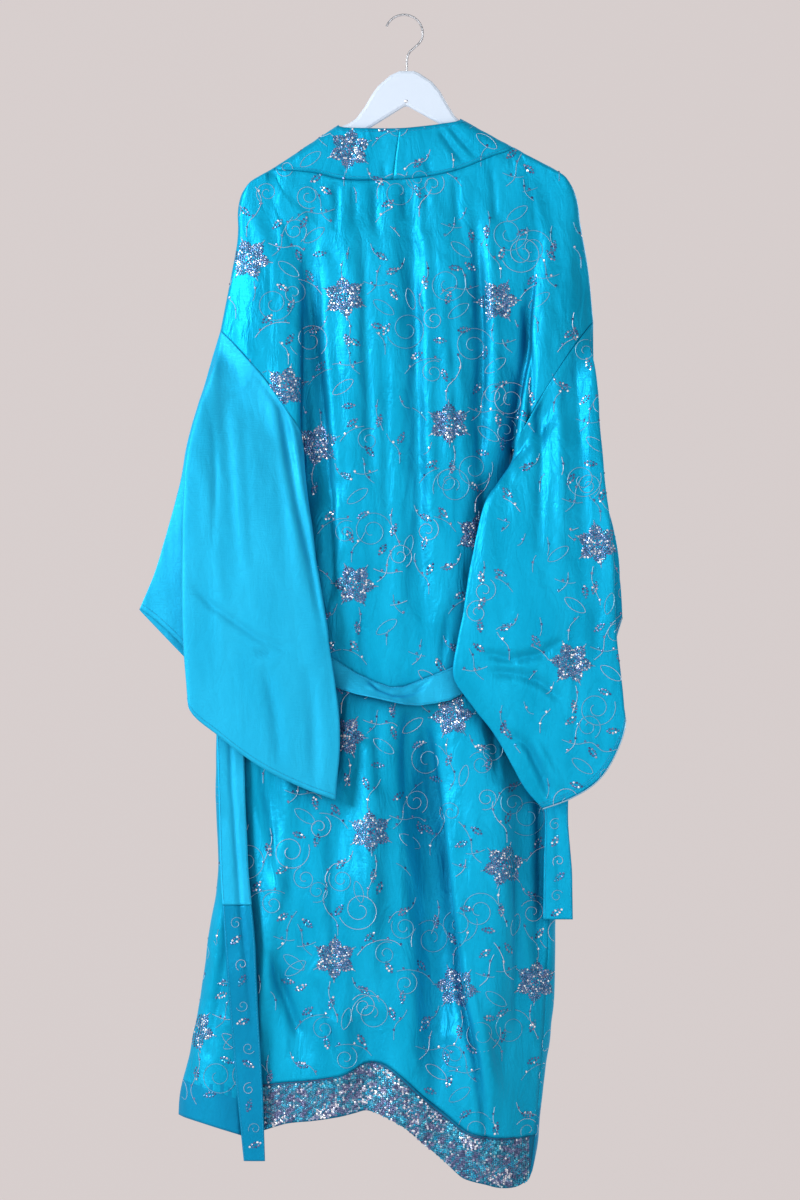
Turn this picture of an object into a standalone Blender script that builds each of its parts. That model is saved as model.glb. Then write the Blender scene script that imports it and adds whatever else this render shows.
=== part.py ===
"""A wide-sleeved wrap robe of satin on a wooden hanger, seen from behind towards +Y.

The origin is the place inside the top of the wire hook that rests on a rail. The robe's back faces -Y
and its open front faces +Y. Every table below is in millimetres, and meshes are made in metres.

The whole robe is laid out as one sheet of shared points, so that pieces which are sewn together run on
smoothly from each other. Each cut piece then takes its own faces, is drawn in from its seams and
gets its thickness on both sides of the sheet.
"""

import math
from bisect import bisect_right
from collections import defaultdict

import bmesh
import bpy
import numpy as np
from mathutils import Vector

MM = 0.001

CLOTH_THICKNESS = 1.4
BAND_THICKNESS = 2.0
BELT_THICKNESS = 2.2
SEAM_GAP = 0.36
EDGE_ROUND = 8.0
MITRE_EASE = 0.05
MITRE_LIMIT = 1.7

BOARD_THICKNESS = 10.0
BOARD_EDGE_ROUND = 4.0
WIRE_DIAMETER = 3.3
WIRE_SIDES = 10
HOOK_RADIUS = 24.4
BORE_DIAMETER = 4.0
BORE_DEPTH = 14.0
BOARD_TOP = (4.0, -75.0)

BELT_CLEARANCE = 2.4
LOOP_WIDTH = 8.0
LOOP_THICKNESS = 1.4
LOOP_MARGIN = 8.0
LOOP_SLACK = 3.5
LOOP_FOOT = 6.0
LOOP_REST = 1.9
LOOP_GAP = 0.5
LOOP_PLACES = {"left": -208.0, "right": 180.0}

COLOURS = {
    "satin": ((0.035, 0.50, 0.78, 1.0), 0.35, 0.0),
    "plain_satin": ((0.04, 0.58, 0.86, 1.0), 0.35, 0.0),
    "sequin_border": ((0.22, 0.30, 0.46, 1.0), 0.4, 0.3),
    "painted_wood": ((0.80, 0.87, 0.94, 1.0), 0.45, 0.0),
    "chrome": ((0.75, 0.76, 0.78, 1.0), 0.15, 1.0),
}

# Lines of the robe. Each row is (x, y, z), from the top down.
# Outer fold of the drop shoulder, where back turns to front, from the shoulder's tip to the armhole seam.
OUTER_LEFT = ((-219, 0, -238), (-225, 0, -249), (-229, 0, -271), (-229, 0, -305), (-238, 0, -358),
              (-253, 0, -435))
OUTER_RIGHT = ((229, 0, -231), (235, 0, -243), (240, 0, -262), (243, 0, -287), (254, 0, -351),
               (261, 0, -423))
# Line on which the cloth turns over the hanger: rows of (x, z), from tip to tip.
SHOULDER_LINE = ((-219, -238), (-211, -228.5), (-178, -209.5), (-90, -151), (77.5, -142.5), (149, -181.5),
                 (211, -214), (221, -221), (229, -231))
# Armhole valley: the deep fold between the drop shoulder and the middle of the back, down to the underarm.
VALLEY_LEFT = ((-186, 0, -214), (-186, -5.7, -216.3), (-185, -8.5, -223), (-172, -13, -262),
               (-158, -14, -290), (-140, -15, -345), (-138, -11, -448), (-138, -9, -582))
VALLEY_RIGHT = ((160, 0, -186.5), (160, -5.7, -189), (161, -8.5, -196), (167, -13, -240),
                (174, -14, -280), (180, -15, -330), (170, -11, -451), (149, -9, -600))
# The same valley on the front.
FRONT_VALLEY_LEFT = ((-186, 0, -214), (-186, 5.7, -216.3), (-186, 8.5, -223), (-181, 12, -262),
                     (-172, 12, -295), (-154, 11, -370), (-141, 9, -470), (-138, 7, -582))
FRONT_VALLEY_RIGHT = ((160, 0, -186.5), (160, 5.7, -189), (161, 8.5, -196), (167, 12, -240),
                      (174, 12, -280), (180, 11, -330), (170, 9, -451), (149, 7, -600))
# Side edge: the outermost line of the body below the underarm.
EDGE_LEFT = ((-139.5, -1, -582), (-142, -1, -641), (-178, -3, -697), (-213, -2, -752), (-246, 0, -821),
             (-257, 0, -945), (-260, 0, -1125), (-254, 2, -1171), (-267, 6, -1249), (-276, 10, -1317),
             (-293, 14, -1415), (-303, 16, -1459), (-311, 18, -1500))
EDGE_RIGHT = ((150.5, -1, -600), (148, -1, -641), (172, -1, -724), (205, 0, -821), (210, 0, -945),
              (209, 0, -1125), (209, 0, -1255), (207, 0, -1323), (203, 0, -1405), (194, 0, -1455),
              (189, 0, -1506), (184, 0, -1552), (180, 0, -1602))
# Side seam: a little way onto the back, where the back panel is sewn to the front.
SEAM_LEFT = ((-138, -9, -582), (-138, -10, -641), (-172, -12, -697), (-206, -13, -752), (-239, -15, -821),
             (-250, -17, -945), (-250, -22, -1125), (-243, -28, -1190), (-236, -34, -1300),
             (-230, -38, -1400), (-226, -42, -1477), (-223, -46, -1542))
SEAM_RIGHT = ((149, -9, -600), (144, -10, -641), (166, -12, -724), (198, -14, -821), (203, -16, -945),
              (201, -18, -1125), (199, -20, -1255), (192, -24, -1405), (180, -30, -1542),
              (172, -34, -1602))
# The same depth behind the side edge, where the front panel turns away.
FRONT_SIDE_LEFT = ((-138, 7, -582), (-139, 9, -641), (-174, 11, -697), (-208, 13, -752), (-240, 15, -821),
                   (-250, 18, -945), (-252, 22, -1125), (-254, 30, -1249), (-276, 42, -1415),
                   (-292, 50, -1500))
FRONT_SIDE_RIGHT = ((149, 7, -600), (145, 9, -641), (167, 12, -724), (199, 14, -821), (204, 18, -945),
                    (203, 22, -1125), (202, 30, -1255), (195, 38, -1405), (172, 46, -1602))
# Front edge: where each front is sewn to its collar band.
FRONT_EDGE_LEFT = ((-178, 0, -209.5), (-178, 5.8, -211.8), (-176, 8.4, -217), (-168, 11, -235),
                   (-130, 17, -320), (-106, 25, -440), (-84, 33, -600))
FRONT_EDGE_RIGHT = ((149, 0, -181.5), (149, 5.8, -183.8), (148, 8.4, -189), (144, 11, -207),
                    (124, 18, -310), (104, 26, -450), (86, 33, -600))
LOW_FRONT_EDGE_LEFT = ((-84, 33, -600), (-80, 42, -900), (-82, 58, -1250), (-86, 72, -1490))
LOW_FRONT_EDGE_RIGHT = ((86, 33, -600), (80, 42, -900), (76, 58, -1250), (72, 72, -1500))

# Neck seam on the back: rows of (x, depth, z). It meets the shoulder line at both ends.
NECK_SEAM = ((-178, 0, -209.5), (-177.6, 5.8, -211.6), (-174, 9, -214), (-162, 10.5, -214.6),
             (-148, 11, -215), (-122, 11, -218), (-95, 11.3, -225), (-69, 11.5, -228), (-11, 12, -227),
             (23, 12, -224), (62, 11.5, -217), (87, 11.2, -209), (111, 11, -199), (132, 10.6, -191),
             (144, 9, -187), (148.6, 5.8, -183.8), (149, 0, -181.5))
# Free edge of the collar band on the back of the neck: rows of (x, y, z).
NECK_EDGE = ((-90, 0, -151), (-89.6, -5.8, -153), (-86, -8.6, -154.5), (-68, -9.4, -155.5),
             (-7, -10, -156), (36, -9.6, -152), (57, -9.2, -149), (73, -8.6, -146.5), (77.1, -5.8, -144.8),
             (77.5, 0, -142.5))
# Free edge of the band down each front: rows of (x, y, z).
FREE_EDGE_LEFT = ((-90, 0, -151), (-90, 5.8, -153.3), (-90, 8.4, -158.5), (-88, 11, -177),
                  (-72, 17, -270), (-42, 26, -420), (-17, 33, -600), (-13, 42, -900), (-13, 58, -1250),
                  (-15, 72, -1488))
FREE_EDGE_RIGHT = ((77.5, 0, -142.5), (77.5, 5.8, -144.8), (77.5, 8.4, -150), (75, 11, -168),
                   (62, 17, -262), (38, 26, -415), (18, 33, -600), (12, 42, -900), (9, 58, -1250),
                   (6, 72, -1496))

# Hem border on the back: rows of (x, z of its top line, z of the hem).
BORDER = ((-223, -1477, -1542), (-193, -1472, -1534), (-162, -1468, -1524), (-120, -1464, -1519),
          (-80, -1455, -1512), (-53, -1440, -1506), (-29, -1444, -1515), (-6, -1461, -1527),
          (20, -1485, -1548), (54, -1513, -1575), (82, -1534, -1598), (109, -1542, -1606),
          (135, -1545, -1613), (160, -1544, -1611), (174, -1542, -1602))

# How square the back's cross-section is, above and below the underarm.
FULL_UPPER = 5.0
FULL_LOWER = 3.4
# How far the collar band bows out, and how high the fronts' lowest rows stand.
BAND_BOW = 1.5
FRONT_BORDER = 66.0
# Depth of the back panel's middle: rows of (z, depth).
BACK_DEPTH = ((-200, 11.5), (-260, 15), (-340, 22), (-450, 27), (-600, 31), (-750, 33), (-940, 35),
              (-1050, 38), (-1150, 46), (-1300, 58), (-1450, 69), (-1620, 78))
# Front depth beyond the straight line between side and front edge: rows of (z, depth).
FRONT_BULGE = ((-210, 0), (-300, 3), (-600, 7), (-1000, 12), (-1550, 20))

# Folds of the back: x and z of the top end, x and z of the low end, half width, depth (+ goes in).
BACK_FOLDS = (
    (-122, -250, -120, -690, 15, 7.0),
    (-72, -300, -70, -880, 16, -5.0),
    (10, -260, 22, -880, 13, 7.0),
    (62, -320, 70, -900, 15, -5.0),
    (100, -300, 104, -640, 14, 8.0),
    (118, -640, 100, -830, 14, 6.0),
    (-178, -1030, -160, -1210, 14, 9.0),
    (-150, -960, -205, -1420, 22, -9.0),
    (-110, -1160, -85, -1480, 22, -7.0),
    (-180, -1270, -135, -1440, 14, 8.0),
    (15, -960, 55, -1560, 24, 20.0),
    (-40, -1240, -52, -1580, 24, 12.0),
    (82, -960, 118, -1560, 26, -13.0),
    (160, -1060, 150, -1400, 16, 8.0),
)

# Drop shoulder, in columns from its valley to its outer fold. A column lies at a share of the width, plus
# some way from the valley, less some way from the fold. Rows of (share, from valley, from fold, depth on
# the back, depth on the front), the depths at the armhole seam.
DROP_COLUMNS = ((0.0, 0, 0, 9.0, 7.0), (0.0, 7, 0, 31.0, 8.0), (0.22, 0, 0, 37.0, 10.0),
                (0.45, 0, 0, 34.0, 11.0), (0.7, 0, 0, 27.0, 11.0), (1.0, 0, 8, 8.6, 8.4),
                (1.0, 0, 2.3, 5.9, 5.9), (1.0, 0, 0, 0.0, 0.0))
DROP_TOP_DEPTH = 9.5
# The same columns on a sleeve, as shares from the underarm seam to the top fold.
SLEEVE_COLUMNS = (0.0, 0.035, 0.2, 0.45, 0.7, 0.9, 0.975, 1.0)
UNDERARM_EASE = (3.0, -2.5, -1.5)
# The side seam's corner under the arm, from the end of the back's valley.
CORNER_SHIFT = (0.8, 2, -2)
ARMHOLE_BOW = 11.0

# Sleeves: the top fold, the tuck behind it, the near fold and the underarm seam, each from the armhole
# to the cuff, in rows of (x, y, z).
TOP_FOLD_LEFT = ((-253, 0, -435), (-275, -5, -514), (-296, -12, -586), (-305, -18, -641), (-323, -24, -710),
                 (-341, -28, -773), (-361, -30, -824))
TUCK_LEFT = ((-250, -6, -439), (-260, -8, -470), (-272, -15, -515), (-285, -30, -590), (-284, -38, -645),
             (-285, -43, -740), (-286, -45, -830), (-286, -46, -898))
NEAR_FOLD_LEFT = ((-242, -17, -450), (-272, -30, -516), (-295, -47, -590), (-301, -55, -645),
                  (-303, -61, -752), (-301, -64, -862), (-293, -65, -949))
UNDERARM_LEFT = ((-142, -12, -584), (-143, -24, -600), (-139, -37, -627), (-127, -52, -724),
                 (-109, -57, -828), (-98, -59, -897), (-88, -61, -987), (-94, -64, -1081))
TOP_FOLD_RIGHT = ((261, 0, -423), (262, -5, -500), (266, -12, -580), (276, -20, -668), (287, -25, -715),
                  (294, -28, -757), (297, -29, -800), (299, -30, -835))
TUCK_RIGHT = ((259, -6, -425), (257, -8, -460), (255, -16, -505), (256, -32, -585), (262, -40, -672),
              (268, -44, -730), (272, -45, -800), (276, -46, -905))
NEAR_FOLD_RIGHT = ((252, -17, -436), (264, -32, -500), (267, -46, -562), (274, -54, -640), (282, -59, -710),
                   (285, -61, -752), (287, -64, -858), (293, -65, -918), (296, -66, -969))
UNDERARM_RIGHT = ((154, -12, -602), (151, -24, -612), (137, -38, -635), (112, -50, -672), (93, -57, -752),
                  (86, -59, -799), (73, -61, -867), (63, -63, -900), (92, -64, -949), (133, -65, -1003),
                  (162, -66, -1059), (191, -67, -1092))
# How far the cuff bows out from the straight line between its ends, x and z.
CUFF_BOW_LEFT = (-4, -20)
CUFF_BOW_RIGHT = (22, -24)
SLEEVE_DEPTH = 5.0
SLEEVE_CROWN = 7.0
LEAST_CROWN = 2.5
# How far the far layer stands off at the underarm: its least share, and how that grows across the sleeve.
FAR_LEAST = 0.4
FAR_GROWTH = 1.8
# The underarm seam's own point: its swell at the armhole and past it, its extra room at the armhole, its
# shift outward, and the shift and lift of the far layer next to it.
SEAM_SWELL = (5.0, 5.5)
SEAM_ROOM = 4.0
SEAM_SHIFT = 1.5
FAR_SHIFT = 2.5
FAR_LIFT = 4.0

# Belt across the back: rows of (x, z of the top edge, z of the low edge, lean of the strip).
BELT_ROWS = ((-252, -816, -858, 0), (-222, -828, -870, 0), (-180, -848, -890, 0), (-140, -868, -908, 2),
             (-98, -887, -926, 3), (-66, -907, -936, 7), (-41, -919, -941, 10), (-18, -927, -946, 11),
             (0, -926, -950, 10), (20, -918, -952, 6), (43, -909, -949, 3), (62, -901, -945, 2),
             (91, -888, -931, 0), (130, -870, -912, 0), (170, -850, -892, 0), (203, -836, -878, 0))
# Belt tails: rows of (x left, x right, z, depth in front of the back panel).
TAIL_LEFT = ((-256, -219, -806, 6.2), (-257, -219, -870, 6.2), (-258, -220, -984, 6.5),
             (-255, -218, -1080, 8), (-252, -213, -1180, 9), (-246, -204, -1270, 10), (-238, -199, -1378, 11),
             (-229, -193, -1480, 12), (-219, -190, -1574, 13))
TAIL_RIGHT = ((189, 226, -828, 6.2), (190, 227, -890, 6.2), (191, 227, -1000, 6.5), (194, 226, -1117, 8),
              (192, 231, -1180, 9), (191, 232, -1246, 10))
TAIL_SPLIT_LEFT = -1222.0

# Hanger board: rows of (x, z), round the outline from the boss.
BOARD_TOP_LEFT = ((-6, -76), (-19, -82), (-36, -97), (-44, -108), (-55, -127), (-66, -141.5), (-77, -149.2),
                  (-90, -153.6), (-134, -182.6), (-178, -211.7), (-198, -223.4))
BOARD_END_LEFT = ((-206, -230), (-210, -237), (-209, -245), (-203, -250))
BOARD_END_RIGHT = ((204, -237), (211, -233), (213, -226), (209, -219))
BOARD_TOP_RIGHT = ((197, -209.5), (173, -196.5), (149, -184.0), (113, -164.2), (77.5, -145.2), (70, -138),
                   (59, -120), (50, -104), (39, -91), (21, -79), (14, -76))
BOARD_APEX = (3, -124)
BOARD_LOW_LEFT = ((-50, -157), (-120, -199))
BOARD_LOW_RIGHT = ((120, -188), (50, -150))

# Rows and columns of the faceted sheet.
UPPER_ROWS = (0, 0.016, 0.036, 0.1, 0.19, 0.28, 0.38, 0.48, 0.58, 0.68, 0.78, 0.88, 0.95, 1)
LOWER_ROWS = 14
BORDER_ROWS = 2
MIDDLE_COLUMNS = 26
FRONT_COLUMNS = 5
EDGE_LEVEL = 0.45
SIDE_LEVEL = 0.35
BAND_COLUMNS = 3
SLEEVE_ROWS = (0, 0.035, 0.09, 0.16, 0.25, 0.34, 0.43, 0.52, 0.61, 0.7, 0.79, 0.88, 0.95, 1)


def mix(start, end, share):
    """The value or point a given share of the way from start to end."""
    if isinstance(start, (int, float)):
        return start + (end - start) * share
    return tuple(a + (b - a) * share for a, b in zip(start, end))


def ease(share):
    """A smooth step from 0 to 1."""
    share = min(max(share, 0.0), 1.0)
    return share * share * (3 - 2 * share)


def spline(keys, values, key):
    """A smooth curve through values at rising keys, read at one key and held at its ends."""
    if key <= keys[0]:
        return values[0]
    if key >= keys[-1]:
        return values[-1]
    spot = bisect_right(keys, key) - 1
    slopes = []
    for index in (spot, spot + 1):
        low, high = max(index - 1, 0), min(index + 1, len(keys) - 1)
        slopes.append((values[high] - values[low]) / (keys[high] - keys[low]))
    span = keys[spot + 1] - keys[spot]
    share = (key - keys[spot]) / span
    rest = 1 - share
    return (values[spot] * (1 + 2 * share) * rest * rest + values[spot + 1] * (3 - 2 * share) * share * share
            + span * share * rest * (slopes[0] * rest - slopes[1] * share))


def along(line, share):
    """The point at a share of the length of a line of (x, y, z) rows."""
    keys = [0.0]
    for start, end in zip(line, line[1:]):
        keys.append(keys[-1] + math.dist(start, end))
    return tuple(spline(keys, [row[axis] for row in line], share * keys[-1]) for axis in range(3))


def at_height(line, z):
    """The x and y of a line of (x, y, z) rows at a height."""
    keys = [-row[2] for row in line]
    return tuple(spline(keys, [row[axis] for row in line], -z) for axis in range(2))


def table(rows, column, key):
    """One column of a table, read at a key of its first column, which falls or rises."""
    rows = sorted(rows)
    return spline([row[0] for row in rows], [row[column] for row in rows], key)


def shoulder_height(x):
    """Height of the line on which the cloth turns over the hanger, at x."""
    return table(SHOULDER_LINE, 1, x)


def fold_depth(folds, x, z):
    """How far the folds push the sheet in at a place."""
    depth = 0.0
    for top_x, top_z, low_x, low_z, width, push in folds:
        share = (top_z - z) / (top_z - low_z)
        if -0.15 < share < 1.15:
            fade = ease((share + 0.15) / 0.4) * ease((1.15 - share) / 0.4)
            offset = (x - mix(top_x, low_x, share)) / width
            depth += push * fade * math.exp(-offset * offset)
    return depth


def back_y(x, z):
    """The back panel's y at a place between its two valleys or side seams."""
    left = at_height(VALLEY_LEFT if z > -582 else SEAM_LEFT, z)
    right = at_height(VALLEY_RIGHT if z > -600 else SEAM_RIGHT, z)
    share = min(max((x - left[0]) / (right[0] - left[0]), 0.0), 1.0)
    below = max(shoulder_height(x) - z, 0.0)
    drop = min(below / EDGE_ROUND, 1.0)
    turn = math.sqrt(1 - (1 - drop) ** 2)
    fill = 1 - abs(2 * share - 1) ** (FULL_UPPER if z > -600 else FULL_LOWER)
    fill = mix(1.0, fill, ease((below - 10) / 60))
    depth = mix(EDGE_ROUND + 0.4, table(BACK_DEPTH, 1, z), ease((below - EDGE_ROUND) / 15)) * turn
    edge = mix(left[1], right[1], share)
    folds = fold_depth(BACK_FOLDS, x, z) * min(1.0, 4 * fill) * ease((below - EDGE_ROUND) / 30)
    return edge + (-depth - edge) * fill + folds


def drop_point(side, column, row, front):
    """A point of the drop shoulder in one of its columns, at a share of the way down to the armhole."""
    valleys = ((VALLEY_LEFT, FRONT_VALLEY_LEFT), (VALLEY_RIGHT, FRONT_VALLEY_RIGHT))[side]
    outer_line = (OUTER_LEFT, OUTER_RIGHT)[side]
    valley = along(valleys[front], row)
    outer = along(outer_line, row)
    share, from_valley, from_fold, back_depth, front_depth = DROP_COLUMNS[column]
    span = math.hypot(outer[0] - valley[0], outer[2] - valley[2])
    station = share + (from_valley - from_fold) / span
    x, _, z = mix(valley, outer, station)
    z += ARMHOLE_BOW * math.sin(math.pi * station) * row ** 3
    top_x = mix(valleys[0][0][0], outer_line[0][0], station)
    top_z = mix(valleys[0][0][2], outer_line[0][2], station)
    z += (shoulder_height(top_x) - top_z) * (1 - row) ** 8
    if row == 0:
        return (x, 0.0, z)
    full = front_depth if front else back_depth
    shallow = min(full, DROP_TOP_DEPTH) if column else abs(valley[1])
    depth = mix(shallow, full, ease(row)) if column else abs(valley[1])
    below = min(row * 380 / EDGE_ROUND, 1.0)
    if column:
        depth *= math.sqrt(1 - (1 - below) ** 2)
    return (x, depth if front else -depth, z)


def sleeve_point(side, column, row, front):
    """A point of the sleeve between underarm seam (column 0) and top fold (the last column)."""
    station = SLEEVE_COLUMNS[column]
    last = len(SLEEVE_COLUMNS) - 1
    top = along((TOP_FOLD_LEFT, TOP_FOLD_RIGHT)[side], row)
    under = along((UNDERARM_LEFT, UNDERARM_RIGHT)[side], row)
    bow = (CUFF_BOW_LEFT, CUFF_BOW_RIGHT)[side]
    bend = math.sin(math.pi * station) * row ** 4
    if front:
        x, y, z = mix(under, top, station)
        gap = mix(DROP_COLUMNS[column][4] + 6 * (1 - station), SLEEVE_DEPTH, ease(row / 0.12))
        y += gap * min(1.0, 4 * (1 - station), FAR_LEAST + FAR_GROWTH * station)
        return (x + 0.3 * bow[0] * bend, y, z + 0.3 * bow[1] * bend)
    if station == 1.0:
        return top
    if station > 0.95:
        return along((TUCK_LEFT, TUCK_RIGHT)[side], row)
    near = along((NEAR_FOLD_LEFT, NEAR_FOLD_RIGHT)[side], row)
    share = station / 0.9
    x, y, z = mix(under, near, share)
    if column:
        crown = max(math.sin(math.pi * share) * SLEEVE_CROWN, LEAST_CROWN)
        y = mix(-DROP_COLUMNS[column][3], y - crown, ease(row / (0.2 if column < last - 2 else 0.1)))
    if column == 1:
        y = min(y, under[1] - LEAST_CROWN)
    return (x + bow[0] * bend, y, z + bow[1] * bend)


class Sheet:
    """Shared points and the faces of each cut piece."""

    def __init__(self):
        self.points = {}
        self.faces = defaultdict(list)

    def put(self, key, point):
        """Store a point under a key unless it is there already, and give the key back."""
        self.points.setdefault(key, Vector(point))
        return key

    def weave(self, piece, rows):
        """Fill the faces of a piece between rows of keys. A repeated key makes a triangle."""
        for upper, lower in zip(rows, rows[1:]):
            for column in range(len(upper) - 1):
                ring = (upper[column], upper[column + 1], lower[column + 1], lower[column])
                ring = [key for index, key in enumerate(ring) if key != ring[index - 1]]
                if len(ring) > 2:
                    self.faces[piece].append(ring)

    def orient(self):
        """Turn the faces so that neighbours agree, across pieces too, starting from the back."""
        owners = defaultdict(list)
        for faces in self.faces.values():
            for ring in faces:
                for index, key in enumerate(ring):
                    owners[frozenset((key, ring[index - 1]))].append(ring)
        first = self.faces["back_panel"][0]
        if (self.points[first[1]] - self.points[first[0]]).cross(
                self.points[first[-1]] - self.points[first[0]]).y > 0:
            first.reverse()
        done, waiting = {id(first)}, [first]
        while waiting:
            ring = waiting.pop()
            for index, key in enumerate(ring):
                before = ring[index - 1]
                for other in owners[frozenset((key, before))]:
                    if id(other) in done:
                        continue
                    place = other.index(key)
                    if other[place - 1] == before:
                        other.reverse()
                    done.add(id(other))
                    waiting.append(other)

    def normals(self):
        """The offset at each point that keeps a wall even on all the faces around it."""
        around = defaultdict(list)
        for faces in self.faces.values():
            for ring in faces:
                corners = [self.points[key] for key in ring]
                normal = (corners[2] - corners[0]).cross(corners[-1] - corners[1])
                if len(ring) == 3:
                    normal = (corners[1] - corners[0]).cross(corners[2] - corners[0])
                for key in ring:
                    around[key].append(normal.normalized())
        offsets = {}
        for key, found in around.items():
            mean = sum(found, Vector()).normalized()
            rows = np.array([tuple(normal) for normal in found])
            weight = MITRE_EASE * len(found)
            square = rows.T @ rows + weight * np.eye(3)
            offset = Vector(np.linalg.solve(square, rows.sum(axis=0) + weight * np.array(mean)))
            offsets[key] = offset.normalized() * min(max(offset.length, 1.0), MITRE_LIMIT)
        return offsets


def halves(ring, points):
    """A face as triangles, split over its shorter diagonal, so that both sides of a wall match."""
    if len(ring) == 3:
        return [ring]
    one, two, three, four = ring
    if (points[one] - points[three]).length <= (points[two] - points[four]).length:
        return [(one, two, three), (one, three, four)]
    return [(two, three, four), (two, four, one)]


def walled(name, faces, points, normals, thickness, gap, colour):
    """Make one cut piece: its faces on both sides of the sheet, drawn in from its edges."""
    uses = defaultdict(list)
    for ring in faces:
        for index, key in enumerate(ring):
            uses[frozenset((key, ring[index - 1]))].append((ring[index - 1], key))
    rim = [pairs[0] for pairs in uses.values() if len(pairs) == 1]
    moved = {key: points[key].copy() for ring in faces for key in ring}
    inward = defaultdict(Vector)
    for start, end in rim:
        for key in (start, end):
            inward[key] += normals[key].cross(points[end] - points[start]).normalized()
    for key, direction in inward.items():
        moved[key] += direction.normalized() * gap / 2
    mesh = bmesh.new()
    outer = {key: mesh.verts.new((moved[key] + normals[key] * thickness / 2) * MM) for key in moved}
    inner = {key: mesh.verts.new((moved[key] - normals[key] * thickness / 2) * MM) for key in moved}
    for ring in faces:
        for corners in halves(ring, moved):
            mesh.faces.new([outer[key] for key in corners])
            mesh.faces.new([inner[key] for key in reversed(corners)])
    for start, end in rim:
        if tuple(points[start].zxy) > tuple(points[end].zxy):
            mesh.faces.new((outer[end], outer[start], inner[end]))
            mesh.faces.new((outer[start], inner[start], inner[end]))
        else:
            mesh.faces.new((outer[end], outer[start], inner[start]))
            mesh.faces.new((outer[end], inner[start], inner[end]))
    bmesh.ops.recalc_face_normals(mesh, faces=mesh.faces)
    return add_object(name, mesh, colour)


def add_object(name, mesh, colour):
    """Turn a bmesh into a named object with its own material."""
    data = bpy.data.meshes.new(name)
    mesh.to_mesh(data)
    mesh.free()
    data.shade_smooth()
    piece = bpy.data.objects.new(name, data)
    bpy.context.scene.collection.objects.link(piece)
    base, roughness, metallic = COLOURS[colour]
    material = bpy.data.materials.new(name)
    material.use_nodes = True
    shader = material.node_tree.nodes["Principled BSDF"]
    shader.inputs["Base Color"].default_value = base
    shader.inputs["Roughness"].default_value = roughness
    shader.inputs["Metallic"].default_value = metallic
    data.materials.append(material)
    return piece


def column_share(column, row):
    """Where a column of the back lies between its side lines. Near the neck it follows the seam's points."""
    even = column / MIDDLE_COLUMNS
    if column in (0, MIDDLE_COLUMNS):
        return even
    left, right = VALLEY_LEFT[0][0], VALLEY_RIGHT[0][0]
    return mix((neck_point(column)[0] - left) / (right - left), even, ease(row / 0.4))


def neck_point(column):
    """A point of the neck seam, for the columns between its two ends."""
    x_left, x_right = NECK_SEAM[0][0], NECK_SEAM[-1][0]
    ends = {1: 0, 2: 1, 3: 2, 4: 3}
    if column in ends:
        x, depth, z = NECK_SEAM[ends[column]]
        return (x, -depth, z)
    if MIDDLE_COLUMNS - column in ends:
        x, depth, z = NECK_SEAM[-1 - ends[MIDDLE_COLUMNS - column]]
        return (x, -depth, z)
    share = (column - 4) / (MIDDLE_COLUMNS - 8)
    x = mix(NECK_SEAM[3][0], NECK_SEAM[-4][0], share)
    return (x, -table(NECK_SEAM[3:-3], 1, x), table(NECK_SEAM[3:-3], 2, x))


def back_rows(sheet):
    """Keys of the back's middle, row by row from the neck seam to the hem."""
    last = MIDDLE_COLUMNS
    rows = []
    for number, row in enumerate(UPPER_ROWS):
        left, right = along(VALLEY_LEFT, row), along(VALLEY_RIGHT, row)
        keys = [sheet.put(("valley", 0, number), left)]
        for column in range(1, last):
            if number == 0:
                keys.append(sheet.put(("neck", column), neck_point(column)))
                continue
            step = column_share(column, row)
            neck = neck_point(column)
            sag = neck[2] - mix(VALLEY_LEFT[0][2], VALLEY_RIGHT[0][2], column_share(column, 0))
            z = mix(left[2], right[2], step) + sag * (1 - row) ** 2
            x = mix(left[0], right[0], step)
            keys.append(sheet.put(("back", number, column), (x, back_y(x, z), z)))
        keys.append(sheet.put(("valley", 1, number), right))
        rows.append(keys)
    for number in range(1, LOWER_ROWS + BORDER_ROWS + 1):
        keys = []
        for column in range(last + 1):
            key = ("back", 100 + number, column)
            if column in (0, last):
                key = ("seam", 0 if column == 0 else 1, number)
            keys.append(sheet.put(key, lower_back_point(column / last, number)))
        rows.append(keys)
    return rows


def lower_height(step, number):
    """Height of a point of the lower back: the underarm line, the border's top line or the hem."""
    underarm = mix(VALLEY_LEFT[-1][2], VALLEY_RIGHT[-1][2], step)
    hem_x = mix(BORDER[0][0], BORDER[-1][0], step)
    top, hem = table(BORDER, 1, hem_x), table(BORDER, 2, hem_x)
    if number > LOWER_ROWS:
        return mix(top, hem, (number - LOWER_ROWS) / BORDER_ROWS)
    share = number / LOWER_ROWS
    level = mix(BORDER[0][1], BORDER[-1][1], step)
    return mix(underarm, level, share) + (top - level) * ease((share - 0.45) / 0.55)


def lower_back_point(step, number):
    """A point of the lower back between its side seams."""
    z = lower_height(step, number)
    left, right = at_height(SEAM_LEFT, z), at_height(SEAM_RIGHT, z)
    x = mix(left[0], right[0], step)
    if step in (0.0, 1.0):
        return (x, (left if step == 0 else right)[1], z)
    return (x, back_y(x, z), z)


def drop_rows(sheet, side, front):
    """Keys of one drop shoulder, row by row, from its valley to its outer fold."""
    rows = []
    for number, row in enumerate(UPPER_ROWS):
        keys = []
        for column in range(len(DROP_COLUMNS)):
            point = drop_point(side, column, row, front)
            if column == 0 and (number == 0 or not front):
                key = ("valley", side, number)
            elif column == 0:
                key = ("front valley", side, number)
            elif number == 0 or column == len(DROP_COLUMNS) - 1:
                key = ("fold", side, number, column)
            else:
                key = ("drop", side, front, number, column)
            keys.append(sheet.put(key, point))
        rows.append(keys)
    return rows


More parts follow.
